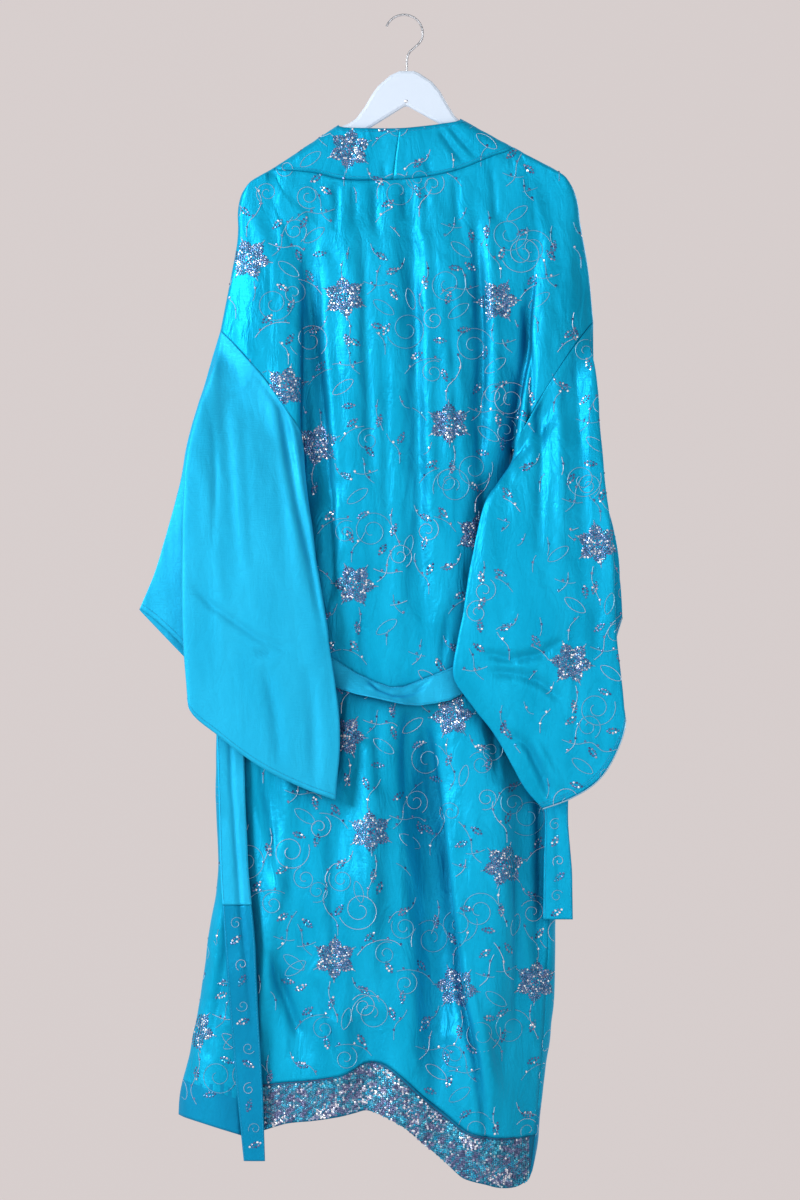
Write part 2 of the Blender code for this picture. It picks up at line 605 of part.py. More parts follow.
def front_rows(sheet, side):
    """Keys of a front from its collar seam to its side, above and below the underarm."""
    upper_edge = (FRONT_EDGE_LEFT, FRONT_EDGE_RIGHT)[side]
    lower_edge = (LOW_FRONT_EDGE_LEFT, LOW_FRONT_EDGE_RIGHT)[side]
    valley_line = (FRONT_VALLEY_LEFT, FRONT_VALLEY_RIGHT)[side]
    side_line = (FRONT_SIDE_LEFT, FRONT_SIDE_RIGHT)[side]
    edge_line = (EDGE_LEFT, EDGE_RIGHT)[side]
    neck = ("neck", 1 if side == 0 else MIDDLE_COLUMNS - 1)
    upper, lower = [], []
    for number, row in enumerate(UPPER_ROWS):
        edge, valley = along(upper_edge, row), along(valley_line, row)
        if number == 0:
            upper.append([neck] + [("valley", side, 0)] * FRONT_COLUMNS)
            continue
        upper.append(span_keys(sheet, ("front", side, number), edge, valley,
                               ("front valley", side, number)))
    shift_x, shift_y, shift_z = CORNER_SHIFT
    corner = sheet.points[("valley", side, len(UPPER_ROWS) - 1)]
    corner = corner + Vector((shift_x * (2 * side - 1), shift_y, shift_z))
    lower.append(upper[-1] + [sheet.put(("edge", side, 0), edge_line[0]), sheet.put(("corner", side), corner)])
    for number in range(1, LOWER_ROWS + BORDER_ROWS + 1):
        z = lower_height(float(side), number)
        far = lower_front_height(side, number)
        edge_x, edge_y = at_height(lower_edge, far)
        side_z = mix(z, far, SIDE_LEVEL)
        side_x, side_y = at_height(side_line, side_z)
        outer_z = mix(z, far, EDGE_LEVEL)
        outer_x, outer_y = at_height(edge_line, outer_z)
        keys = span_keys(sheet, ("low front", side, number), (edge_x, edge_y, far),
                         (side_x, side_y, side_z), ("front side", side, number))
        keys.append(sheet.put(("edge", side, number), (outer_x, outer_y, outer_z)))
        keys.append(("seam", side, number))
        lower.append(keys)
    return upper, lower


def lower_front_height(side, number):
    """Height of the front's rows below the underarm."""
    top = (LOW_FRONT_EDGE_LEFT, LOW_FRONT_EDGE_RIGHT)[side][0][2]
    hem = (LOW_FRONT_EDGE_LEFT, LOW_FRONT_EDGE_RIGHT)[side][-1][2]
    border = hem + FRONT_BORDER
    if number > LOWER_ROWS:
        return mix(border, hem, (number - LOWER_ROWS) / BORDER_ROWS)
    return mix(top, border, number / LOWER_ROWS)


def span_keys(sheet, name, start, end, end_key):
    """Keys of one front row: from its collar seam to the point with end_key."""
    keys = []
    for column in range(FRONT_COLUMNS + 1):
        share = column / FRONT_COLUMNS
        x, y, z = mix(start, end, share)
        y += table(FRONT_BULGE, 1, z) * math.sin(math.pi * share)
        key = end_key if column == FRONT_COLUMNS else name + (column,)
        keys.append(sheet.put(key, (x, y, z)))
    return keys


def sleeve_rows(sheet, side, near_row, far_row):
    """Keys of a sleeve's rings, from the armhole to the cuff. A ring starts and ends at the top fold."""
    last = len(SLEEVE_COLUMNS) - 1
    outward = -1 if side == 0 else 1
    ease_x, ease_y, ease_z = UNDERARM_EASE
    valley_near, valley_far = (sheet.points[row[0]] for row in (near_row, far_row))
    own = []
    for name, point, share in (("near", valley_near, 1.0), ("edge", (valley_near + valley_far) / 2, 0.4)):
        shift = Vector((outward * (ease_x + (1 - share)), ease_y * share, ease_z))
        own.append(sheet.put(("sleeve underarm", side, name), point + shift))
    rings = [near_row[:0:-1] + own + [far_row[1]] + far_row[1:]]
    for number, row in enumerate(SLEEVE_ROWS[1:], 1):
        keys = []
        for column in range(last, -1, -1):
            point = sleeve_point(side, column, row, False)
            keys.append(sheet.put(("sleeve", side, number, column), point))
        under = sleeve_point(side, 0, row, False)
        swell = mix(SEAM_SWELL[0], SEAM_SWELL[1], ease(row / 0.3))
        narrow = mix(SEAM_ROOM, 0.0, ease(row / 0.15))
        keys.append(sheet.put(("sleeve", side, number, "seam"),
                              (under[0] + outward * (SEAM_SHIFT + narrow), under[1] + swell, under[2])))
        for column in range(last):
            x, y, z = sleeve_point(side, column, row, True)
            if column < 2:
                x += outward * (FAR_SHIFT + (1 + column) * narrow)
                y += FAR_LIFT - column
            keys.append(sheet.put(("sleeve far", side, number, column), (x, y, z)))
        keys.append(("sleeve", side, number, last))
        rings.append(keys)
    return rings


def band_rows(sheet, side, neck_keys, front_keys):
    """Keys of half the collar band: rows across it, from the centre of the neck to the front hem."""
    free_line = (FREE_EDGE_LEFT, FREE_EDGE_RIGHT)[side]
    rows = []
    count = len(neck_keys) - 1
    ends = NECK_EDGE if side == 0 else NECK_EDGE[::-1]
    centre_x = mix(NECK_EDGE[0][0], NECK_EDGE[-1][0], 0.5)
    for number, key in enumerate(neck_keys):
        from_end = count - number
        free = ends[from_end] if from_end < 3 else None
        if free is None:
            x = mix(centre_x, ends[2][0], number / (count - 2))
            free = (x, table(NECK_EDGE[1:-1], 1, x), table(NECK_EDGE[1:-1], 2, x))
        name = ("band", side if number else 2, number)
        rows.append(cross_keys(sheet, name, key, free, number == count))
    heights = [sheet.points[key].z for key in front_keys]
    for number, key in enumerate(front_keys, 1):
        top, low = free_line[0][2], free_line[-1][2]
        seam_top, seam_low = sheet.points[neck_keys[-1]].z, heights[-1]
        share = (seam_top - heights[number - 1]) / (seam_top - seam_low)
        z = mix(top, low, share)
        x, y = at_height(free_line, z)
        rows.append(cross_keys(sheet, ("front band", side, number), key, (x, y, z), False))
    return rows


def cross_keys(sheet, name, seam_key, free, flat):
    """Keys across the band, from its seam to its free edge."""
    keys = [seam_key]
    start = tuple(sheet.points[seam_key])
    for column in range(1, BAND_COLUMNS + 1):
        share = column / BAND_COLUMNS
        x, y, z = mix(start, free, share)
        if not flat:
            y += math.copysign(BAND_BOW, y) * math.sin(math.pi * share)
        keys.append(sheet.put(name + (column,), (x, y, z)))
    return keys


def make_robe():
    """Lay out the robe's sheet and cut it into its pieces."""
    sheet = Sheet()
    back = back_rows(sheet)
    border_start = len(UPPER_ROWS) - 1 + LOWER_ROWS
    sheet.weave("back_panel", back[:border_start + 1])
    sheet.weave("back_hem_border", back[border_start:])
    middle = MIDDLE_COLUMNS // 2
    neck = [("neck", column) for column in range(1, MIDDLE_COLUMNS)]
    for side, name in enumerate(("left", "right")):
        near, far = drop_rows(sheet, side, False), drop_rows(sheet, side, True)
        upper, lower = front_rows(sheet, side)
        sheet.weave("back_panel", near)
        for rows in (far, upper, lower):
            sheet.weave("front_" + name, rows)
        sheet.weave("sleeve_" + name, sleeve_rows(sheet, side, near[-1], far[-1]))
        half = neck[:middle][::-1] if side == 0 else neck[middle - 1:]
        front_keys = [row[0] for row in upper[1:]] + [row[0] for row in lower[1:]]
        sheet.weave("collar_" + name, band_rows(sheet, side, half, front_keys))
    sheet.orient()
    normals = sheet.normals()
    for piece, faces in sheet.faces.items():
        thickness = BAND_THICKNESS if piece.startswith("collar") else CLOTH_THICKNESS
        colour = {"back_hem_border": "sequin_border", "sleeve_left": "plain_satin"}.get(piece, "satin")
        walled(piece, faces, sheet.points, normals, thickness, SEAM_GAP, colour)


def strip_piece(name, rows, thickness, colour):
    """A strip of cloth between two edges, given as rows of points across it."""
    sheet = Sheet()
    keys = [[sheet.put((i, j), point) for j, point in enumerate(row)] for i, row in enumerate(rows)]
    sheet.weave(name, keys)
    return walled(name, sheet.faces[name], sheet.points, sheet.normals(), thickness, SEAM_GAP, colour)


def body_front(x, z, margin, reach=9.0):
    """The nearest y that stays in front of the back panel around a place."""
    steps = (-reach, 0, reach)
    spots = [back_y(x + shift, z + lift) for shift in steps for lift in steps]
    return min(spots) - margin


def make_belt():
    """The belt across the back, its two hanging tails and the loops that carry it."""
    rows = []
    for start, end in zip(BELT_ROWS, BELT_ROWS[1:]):
        for part in range(2):
            rows.append(mix(start, end, part / 2))
    rows.append(BELT_ROWS[-1])
    strip = []
    for x, top, low, lean in rows:
        y = body_front(x, (top + low) / 2, BELT_CLEARANCE)
        strip.append([(x, y, top), (x, y - lean, (top + low) / 2), (x, y - 2 * lean, low)])
    strip_piece("belt", strip, BELT_THICKNESS, "plain_satin")
    make_loops([row[0] for row in strip])
    for name, table_rows, split in (("left", TAIL_LEFT, TAIL_SPLIT_LEFT), ("right", TAIL_RIGHT, None)):
        dense = []
        for start, end in zip(table_rows, table_rows[1:]):
            dense += [mix(start, end, part / 2) for part in range(2)]
        dense.append(table_rows[-1])
        tail = []
        for left, right, z, proud in dense:
            centre = (left + right) / 2
            y = min(body_front(spot, z, proud) for spot in (left, centre, right))
            tail.append([(left, y + 1.0, z), (centre, y, z), (right, y + 0.5, z)])
        if split is None:
            strip_piece("belt_tail_" + name, tail, BELT_THICKNESS, "satin")
        else:
            cut = next(i for i, row in enumerate(tail) if row[0][2] < split)
            strip_piece("belt_tail_" + name, tail[:cut + 1], BELT_THICKNESS, "plain_satin")
            strip_piece("belt_end_" + name, tail[cut:], BELT_THICKNESS, "satin")


def make_loops(belt_line):
    """Two narrow loops near the side seams, which carry the belt."""
    belt_keys = [row[0] for row in BELT_ROWS]
    for name, x in LOOP_PLACES.items():
        top, low = (spline(belt_keys, [row[column] for row in BELT_ROWS], x) for column in (1, 2))
        near = [table(belt_line, 1, x + shift * LOOP_WIDTH / 2) for shift in (-1, 0, 1)]
        over = min(near) - BELT_THICKNESS / 2 - LOOP_THICKNESS / 2 - LOOP_GAP
        path = []
        for z, on_body in ((top + LOOP_MARGIN + LOOP_FOOT, True), (top + LOOP_MARGIN, True),
                           (top + LOOP_SLACK, False), ((top + low) / 2, False), (low - LOOP_SLACK, False),
                           (low - LOOP_MARGIN, True), (low - LOOP_MARGIN - LOOP_FOOT, True)):
            path.append((body_front(x, z, LOOP_REST, LOOP_WIDTH / 2) if on_body else over, z))
        rows = [[(x - LOOP_WIDTH / 2, y, z), (x + LOOP_WIDTH / 2, y, z)] for y, z in path]
        strip_piece("belt_loop_" + name, rows, LOOP_THICKNESS, "satin")


def make_board():
    """The hanger's board: an extruded outline with rounded edges and a bore for the hook."""
    outline = [BOARD_APEX]
    outline += BOARD_LOW_LEFT + BOARD_END_LEFT[::-1] + BOARD_TOP_LEFT[::-1]
    outline += BOARD_TOP_RIGHT[::-1] + BOARD_END_RIGHT[::-1] + BOARD_LOW_RIGHT
    mesh = bmesh.new()
    half = BOARD_THICKNESS / 2
    near = [mesh.verts.new(Vector((x, -half, z)) * MM) for x, z in outline]
    face = mesh.faces.new(near)
    swept = bmesh.ops.extrude_face_region(mesh, geom=[face])
    far = [item for item in swept["geom"] if isinstance(item, bmesh.types.BMVert)]
    bmesh.ops.translate(mesh, verts=far, vec=Vector((0, BOARD_THICKNESS * MM, 0)))
    bmesh.ops.recalc_face_normals(mesh, faces=mesh.faces)
    board = add_object("hanger_board", mesh, "painted_wood")
    bevel = board.modifiers.new("rounded edges", "BEVEL")
    bevel.width = BOARD_EDGE_ROUND * MM
    bevel.segments = 2
    bevel.limit_method = "ANGLE"
    bevel.angle_limit = math.radians(60)
    cutter_mesh = bmesh.new()
    bmesh.ops.create_cone(cutter_mesh, cap_ends=True, segments=12, radius1=BORE_DIAMETER / 2 * MM,
                          radius2=BORE_DIAMETER / 2 * MM, depth=2 * BORE_DEPTH * MM)
    cutter = add_object("bore_cutter", cutter_mesh, "chrome")
    cutter.location = Vector((BOARD_TOP[0], 0, BOARD_TOP[1])) * MM
    cutter.hide_render = True
    cutter.display_type = "WIRE"
    cut = board.modifiers.new("bore", "BOOLEAN")
    cut.operation = "DIFFERENCE"
    cut.object = cutter


def make_hook():
    """The wire hook: most of a circle, then a bend down to a straight stem in the board."""
    wire_line = HOOK_RADIUS + WIRE_DIAMETER / 2
    points = []
    for step in range(15):
        angle = math.radians(mix(158, -18, step / 14))
        points.append(Vector((wire_line * math.cos(angle), 0, -HOOK_RADIUS + wire_line * math.sin(angle))))
    for x, z in ((20.5, -38.5), (14.5, -44), (8.5, -49), (5.0, -55), (4.0, -62), (4.0, -75), (4.0, -88)):
        points.append(Vector((x, 0, z)))
    mesh = bmesh.new()
    rings = []
    for index, point in enumerate(points):
        ahead = points[min(index + 1, len(points) - 1)] - points[max(index - 1, 0)]
        side = ahead.normalized().cross(Vector((0, 1, 0)))
        ring = []
        for spot in range(WIRE_SIDES):
            angle = 2 * math.pi * spot / WIRE_SIDES
            offset = side * math.cos(angle) + Vector((0, 1, 0)) * math.sin(angle)
            ring.append(mesh.verts.new((point + offset * WIRE_DIAMETER / 2) * MM))
        rings.append(ring)
    for first, second in zip(rings, rings[1:]):
        for spot in range(WIRE_SIDES):
            after = (spot + 1) % WIRE_SIDES
            mesh.faces.new((first[spot], first[after], second[after], second[spot]))
    mesh.faces.new(rings[0][::-1])
    mesh.faces.new(rings[-1])
    bmesh.ops.recalc_face_normals(mesh, faces=mesh.faces)
    add_object("hanger_hook", mesh, "chrome")


def clear_scene():
    """Remove whatever the scene holds."""
    for item in list(bpy.data.objects):
        bpy.data.objects.remove(item)


clear_scene()
make_robe()
make_belt()
make_board()
make_hook()
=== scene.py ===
"""The looks of a wide-sleeved satin wrap robe on a wooden hanger, seen from behind towards +Y.

Each cut piece is a thin shell on the form of its solid: the same named lines in millimetres give coarse
rows of points, smooth curves run through them both ways, and creases are pressed in. Embroidery, sequins
and stitching are joined meshes laid on the shells.
"""

import logging
import math
import random
from bisect import bisect_right
from dataclasses import dataclass, field
from enum import Enum
from typing import Callable, Iterable, Optional, Sequence

import bpy
import numpy as np
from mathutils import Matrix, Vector, noise
from mathutils.bvhtree import BVHTree

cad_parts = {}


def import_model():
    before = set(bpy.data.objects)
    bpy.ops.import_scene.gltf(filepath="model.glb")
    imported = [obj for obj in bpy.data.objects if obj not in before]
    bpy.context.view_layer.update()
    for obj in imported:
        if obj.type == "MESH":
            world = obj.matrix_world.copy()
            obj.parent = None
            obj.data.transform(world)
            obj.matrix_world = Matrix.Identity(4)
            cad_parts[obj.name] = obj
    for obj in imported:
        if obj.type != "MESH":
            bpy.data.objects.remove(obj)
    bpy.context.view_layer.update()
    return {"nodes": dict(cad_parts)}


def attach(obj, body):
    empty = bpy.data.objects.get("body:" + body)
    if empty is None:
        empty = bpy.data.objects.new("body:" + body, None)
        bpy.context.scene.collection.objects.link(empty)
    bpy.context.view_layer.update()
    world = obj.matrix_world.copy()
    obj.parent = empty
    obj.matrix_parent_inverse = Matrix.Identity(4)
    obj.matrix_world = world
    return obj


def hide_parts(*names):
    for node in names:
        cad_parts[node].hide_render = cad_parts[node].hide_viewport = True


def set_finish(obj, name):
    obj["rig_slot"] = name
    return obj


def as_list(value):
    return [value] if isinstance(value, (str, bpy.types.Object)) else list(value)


LOG = logging.getLogger("robe")
MM = 0.001
BODY = "root"

Row = tuple[float, ...]
Table = tuple[Row, ...]


class Side(Enum):
    """The wearer's sides. The left one lies towards -X."""

    LEFT = 0
    RIGHT = 1

    @property
    def outward(self) -> int:
        """-1 on the left, 1 on the right."""
        return 2 * self.value - 1

    @property
    def word(self) -> str:
        """The side's word in names."""
        return self.name.lower()


def mix(start, end, share: float):
    """The value or point a given share of the way from start to end."""
    if isinstance(start, (int, float)):
        return start + (end - start) * share
    return tuple(a + (b - a) * share for a, b in zip(start, end))


def ease(share: float) -> float:
    """A smooth step from 0 to 1."""
    share = min(max(share, 0.0), 1.0)
    return share * share * (3 - 2 * share)


def spline(keys: Sequence[float], values: Sequence[float], key: float) -> float:
    """Read a smooth curve through values at rising keys, held at its ends.

    Args:
        keys: Rising places of the values.
        values: The values.
        key: Where the curve is read.

    Returns:
        The value there.
    """
    if key <= keys[0]:
        return values[0]
    if key >= keys[-1]:
        return values[-1]
    spot = bisect_right(keys, key) - 1
    slopes = []
    for index in (spot, spot + 1):
        low, high = max(index - 1, 0), min(index + 1, len(keys) - 1)
        slopes.append((values[high] - values[low]) / (keys[high] - keys[low]))
    span = keys[spot + 1] - keys[spot]
    share = (key - keys[spot]) / span
    rest = 1 - share
    return (values[spot] * (1 + 2 * share) * rest * rest + values[spot + 1] * (3 - 2 * share) * share * share
            + span * share * rest * (slopes[0] * rest - slopes[1] * share))


def along(line: Table, share: float) -> Row:
    """The point at a share of the length of a line of (x, y, z) rows."""
    keys = [0.0]
    for start, end in zip(line, line[1:]):
        keys.append(keys[-1] + math.dist(start, end))
    return tuple(spline(keys, [row[axis] for row in line], share * keys[-1]) for axis in range(3))


def at_height(line: Table, z: float) -> Row:
    """The x and y of a line of (x, y, z) rows at a height."""
    keys = [-row[2] for row in line]
    return tuple(spline(keys, [row[axis] for row in line], -z) for axis in range(2))


def table(rows: Table, column: int, key: float) -> float:
    """One column of a table, read at a key of its first column, which falls or rises."""
    rows = sorted(rows)
    return spline([row[0] for row in rows], [row[column] for row in rows], key)


def refine(points: np.ndarray, parts: Sequence[int], closed: bool = False) -> np.ndarray:
    """Run smooth curves through points along their first axis, each on its own chord lengths.

    Args:
        points: An array of shape (points, lines, 3).
        parts: How many parts each span is split into.
        closed: Whether the last point is the first one again.

    Returns:
        The finer array.
    """
    steps = np.diff(points, axis=0)
    chord = np.maximum(np.linalg.norm(steps, axis=2), 1e-6)[..., None]
    slope = steps / chord
    tangent = np.empty_like(points)
    tangent[1:-1] = (slope[:-1] * chord[1:] + slope[1:] * chord[:-1]) / (chord[:-1] + chord[1:])
    if closed:
        tangent[0] = (slope[-1] * chord[0] + slope[0] * chord[-1]) / (chord[0] + chord[-1])
        tangent[-1] = tangent[0]
    else:
        tangent[0] = 1.5 * slope[0] - 0.5 * tangent[1]
        tangent[-1] = 1.5 * slope[-1] - 0.5 * tangent[-2]
    rows = []
    for span, count in enumerate(parts):
        for part in range(count):
            share = part / count
            rest = 1 - share
            rows.append(points[span] * (1 + 2 * share) * rest ** 2
                        + points[span + 1] * (3 - 2 * share) * share ** 2
                        + chord[span] * share * rest * (tangent[span] * rest - tangent[span + 1] * share))
    rows.append(points[-1])
    return np.array(rows)


def halved(rows: Table) -> list[Row]:
    """A table's rows, with one more halfway between each two."""
    dense = []
    for start, end in zip(rows, rows[1:]):
        dense += [start, mix(start, end, 0.5)]
    return dense + [rows[-1]]


def aside(x: float, z: float, far: float, wide: float, turn: float) -> Row:
    """The place that lies so far along a direction from x and z, and so wide to its left."""
    return (x + far * math.cos(turn) - wide * math.sin(turn), z + far * math.sin(turn) + wide * math.cos(turn))


def place_mesh(name: str, points: Sequence, faces: Sequence, material: bpy.types.Material) -> bpy.types.Object:
    """Put a mesh of points in metres into the scene, with its finish."""
    mesh = bpy.data.meshes.new(name)
    mesh.from_pydata(points, [], faces)
    mesh.materials.append(material)
    item = bpy.data.objects.new(name, mesh)
    bpy.context.collection.objects.link(item)
    return item


def across(points: np.ndarray, parts: Sequence[int], closed: bool = False) -> np.ndarray:
    """The same along the second axis."""
    return refine(points.swapaxes(0, 1), parts, closed).swapaxes(0, 1)


def parts_for(points: np.ndarray, size: float) -> list[int]:
    """How many parts of about a size in millimetres each span of the first axis takes."""
    spans = np.linalg.norm(np.diff(points, axis=0), axis=2).max(axis=1)
    return [max(1, math.ceil(span / size)) for span in spans]


@dataclass(frozen=True)
class Outline:
    """The lines of the robe, in rows of (x, y, z) from the top down. Pairs are left and right."""

    outer: tuple[Table, Table] = (
        ((-219, 0, -238), (-225, 0, -249), (-229, 0, -271), (-229, 0, -305), (-238, 0, -358), (-253, 0, -435)),
        ((229, 0, -231), (235, 0, -243), (240, 0, -262), (243, 0, -287), (254, 0, -351), (261, 0, -423)))
    shoulder: Table = ((-219, -238), (-211, -228.5), (-178, -209.5), (-90, -151), (77.5, -142.5),
                       (149, -181.5), (211, -214), (221, -221), (229, -231))
    valley: tuple[Table, Table] = (
        ((-186, 0, -214), (-186, -5.7, -216.3), (-185, -8.5, -223), (-172, -13, -262), (-158, -14, -290),
         (-140, -15, -345), (-138, -11, -448), (-138, -9, -582)),
        ((160, 0, -186.5), (160, -5.7, -189), (161, -8.5, -196), (167, -13, -240), (174, -14, -280),
         (180, -15, -330), (170, -11, -451), (149, -9, -600)))
    front_valley: tuple[Table, Table] = (
        ((-186, 0, -214), (-186, 5.7, -216.3), (-186, 8.5, -223), (-181, 12, -262), (-172, 12, -295),
         (-154, 11, -370), (-141, 9, -470), (-138, 7, -582)),
        ((160, 0, -186.5), (160, 5.7, -189), (161, 8.5, -196), (167, 12, -240), (174, 12, -280),
         (180, 11, -330), (170, 9, -451), (149, 7, -600)))
    edge: tuple[Table, Table] = (
        ((-139.5, -1, -582), (-142, -1, -641), (-178, -3, -697), (-213, -2, -752), (-246, 0, -821),
         (-257, 0, -945), (-260, 0, -1125), (-254, 2, -1171), (-267, 6, -1249), (-276, 10, -1317),
         (-293, 14, -1415), (-303, 16, -1459), (-311, 18, -1500)),
        ((150.5, -1, -600), (148, -1, -641), (172, -1, -724), (205, 0, -821), (210, 0, -945),
         (209, 0, -1125), (209, 0, -1255), (207, 0, -1323), (203, 0, -1405), (194, 0, -1455),
         (189, 0, -1506), (184, 0, -1552), (180, 0, -1602)))
    seam: tuple[Table, Table] = (
        ((-138, -9, -582), (-138, -10, -641), (-172, -12, -697), (-206, -13, -752), (-239, -15, -821),
         (-250, -17, -945), (-250, -22, -1125), (-243, -28, -1190), (-236, -34, -1300), (-230, -38, -1400),
         (-226, -42, -1477), (-223, -46, -1542)),
        ((149, -9, -600), (144, -10, -641), (166, -12, -724), (198, -14, -821), (203, -16, -945),
         (201, -18, -1125), (199, -20, -1255), (192, -24, -1405), (180, -30, -1542), (172, -34, -1602)))
    front_side: tuple[Table, Table] = (
        ((-138, 7, -582), (-139, 9, -641), (-174, 11, -697), (-208, 13, -752), (-240, 15, -821),
         (-250, 18, -945), (-252, 22, -1125), (-254, 30, -1249), (-276, 42, -1415), (-292, 50, -1500)),
        ((149, 7, -600), (145, 9, -641), (167, 12, -724), (199, 14, -821), (204, 18, -945), (203, 22, -1125),
         (202, 30, -1255), (195, 38, -1405), (172, 46, -1602)))
    front_edge: tuple[Table, Table] = (
        ((-178, 0, -209.5), (-178, 5.8, -211.8), (-176, 8.4, -217), (-168, 11, -235), (-130, 17, -320),
         (-106, 25, -440), (-84, 33, -600)),
        ((149, 0, -181.5), (149, 5.8, -183.8), (148, 8.4, -189), (144, 11, -207), (124, 18, -310),
         (104, 26, -450), (86, 33, -600)))
    low_front_edge: tuple[Table, Table] = (
        ((-84, 33, -600), (-80, 42, -900), (-82, 58, -1250), (-86, 72, -1490)),
        ((86, 33, -600), (80, 42, -900), (76, 58, -1250), (72, 72, -1500)))
    neck_seam: Table = (
        (-178, 0, -209.5), (-177.6, 5.8, -211.6), (-174, 9, -214), (-162, 10.5, -214.6), (-148, 11, -215),
        (-122, 11, -218), (-95, 11.3, -225), (-69, 11.5, -228), (-11, 12, -227), (23, 12, -224),
        (62, 11.5, -217), (87, 11.2, -209), (111, 11, -199), (132, 10.6, -191), (144, 9, -187),
        (148.6, 5.8, -183.8), (149, 0, -181.5))
    neck_edge: Table = (
        (-90, 0, -151), (-89.6, -5.8, -153), (-86, -8.6, -154.5), (-68, -9.4, -155.5), (-7, -10, -156),
        (36, -9.6, -152), (57, -9.2, -149), (73, -8.6, -146.5), (77.1, -5.8, -144.8), (77.5, 0, -142.5))
    free_edge: tuple[Table, Table] = (
        ((-90, 0, -151), (-90, 5.8, -153.3), (-90, 8.4, -158.5), (-88, 11, -177), (-72, 17, -270),
         (-42, 26, -420), (-17, 33, -600), (-13, 42, -900), (-13, 58, -1250), (-15, 72, -1488)),
        ((77.5, 0, -142.5), (77.5, 5.8, -144.8), (77.5, 8.4, -150), (75, 11, -168), (62, 17, -262),
         (38, 26, -415), (18, 33, -600), (12, 42, -900), (9, 58, -1250), (6, 72, -1496)))
    # Hem border on the back: rows of (x, z of its top line, z of the hem).
    border: Table = (
        (-223, -1477, -1542), (-193, -1472, -1534), (-162, -1468, -1524), (-120, -1464, -1519),
        (-80, -1455, -1512), (-53, -1440, -1506), (-29, -1444, -1515), (-6, -1461, -1527), (20, -1485, -1548),
        (54, -1513, -1575), (82, -1534, -1598), (109, -1542, -1606), (135, -1545, -1613), (160, -1544, -1611),
        (174, -1542, -1602))
    # Depths by height, in rows of (z, depth).
    back_depth: Table = (
        (-200, 11.5), (-260, 15), (-340, 22), (-450, 27), (-600, 31), (-750, 33), (-940, 35), (-1050, 38),
        (-1150, 46), (-1300, 58), (-1450, 69), (-1620, 78))
    front_bulge: Table = ((-210, 0), (-300, 3), (-600, 7), (-1000, 12), (-1550, 20))
    # Main folds of the back: x, z of the top end, x, z of the low end, half width, depth (+ goes in).
    back_folds: Table = (
        (-122, -250, -120, -690, 15, 7.0), (-72, -300, -70, -880, 16, -5.0), (10, -260, 22, -880, 13, 7.0),
        (62, -320, 70, -900, 15, -5.0), (100, -300, 104, -640, 14, 8.0), (118, -640, 100, -830, 14, 6.0),
        (-178, -1030, -160, -1210, 14, 9.0), (-150, -960, -205, -1420, 22, -9.0),
        (-110, -1160, -85, -1480, 22, -7.0), (-180, -1270, -135, -1440, 14, 8.0),
        (15, -960, 55, -1560, 24, 20.0), (-40, -1240, -52, -1580, 24, 12.0),
        (82, -960, 118, -1560, 26, -13.0), (160, -1060, 150, -1400, 16, 8.0))
    # Columns of the drop shoulder: share, from valley, from fold, depth on the back, on the front.
    drop: Table = (
        (0.0, 0, 0, 9.0, 7.0), (0.0, 7, 0, 31.0, 8.0), (0.22, 0, 0, 37.0, 10.0), (0.45, 0, 0, 34.0, 11.0),
        (0.7, 0, 0, 27.0, 11.0), (1.0, 0, 8, 8.6, 8.4), (1.0, 0, 2.3, 5.9, 5.9), (1.0, 0, 0, 0.0, 0.0))
    drop_top_depth: float = 9.5
    armhole_bow: float = 11.0
    edge_round: float = 8.0
    upper_rows: Row = (0, 0.016, 0.036, 0.1, 0.19, 0.28, 0.38, 0.48, 0.58, 0.68, 0.78, 0.88, 0.95, 1)
    lower_rows: int = 14
    border_rows: int = 2
    columns: int = 26
    front_columns: int = 5
    drop_length: float = 380.0
    # How square the back is from side to side, above and below the underarms.
    chest_power: float = 5.0
    skirt_power: float = 3.4
    # Height of the fronts' rows beside the back's border.
    front_border: float = 66.0
    edge_level: float = 0.45
    side_level: float = 0.35


@dataclass(frozen=True)
class SleeveLines:
    """One sleeve's lines, in rows of (x, y, z) from the armhole to the cuff."""

    side: Side
    top_fold: Table
    tuck: Table
    near_fold: Table
    underarm: Table
    cuff_bow: Row
    columns: Row = (0.0, 0.035, 0.2, 0.45, 0.7, 0.9, 0.975, 1.0)
    rows: Row = (0, 0.035, 0.09, 0.16, 0.25, 0.34, 0.43, 0.52, 0.61, 0.7, 0.79, 0.88, 0.95, 1)
    depth: float = 5.0
    crown: float = 7.0
    least_crown: float = 2.5
    underarm_ease: Row = (3.0, -2.5, -1.5)


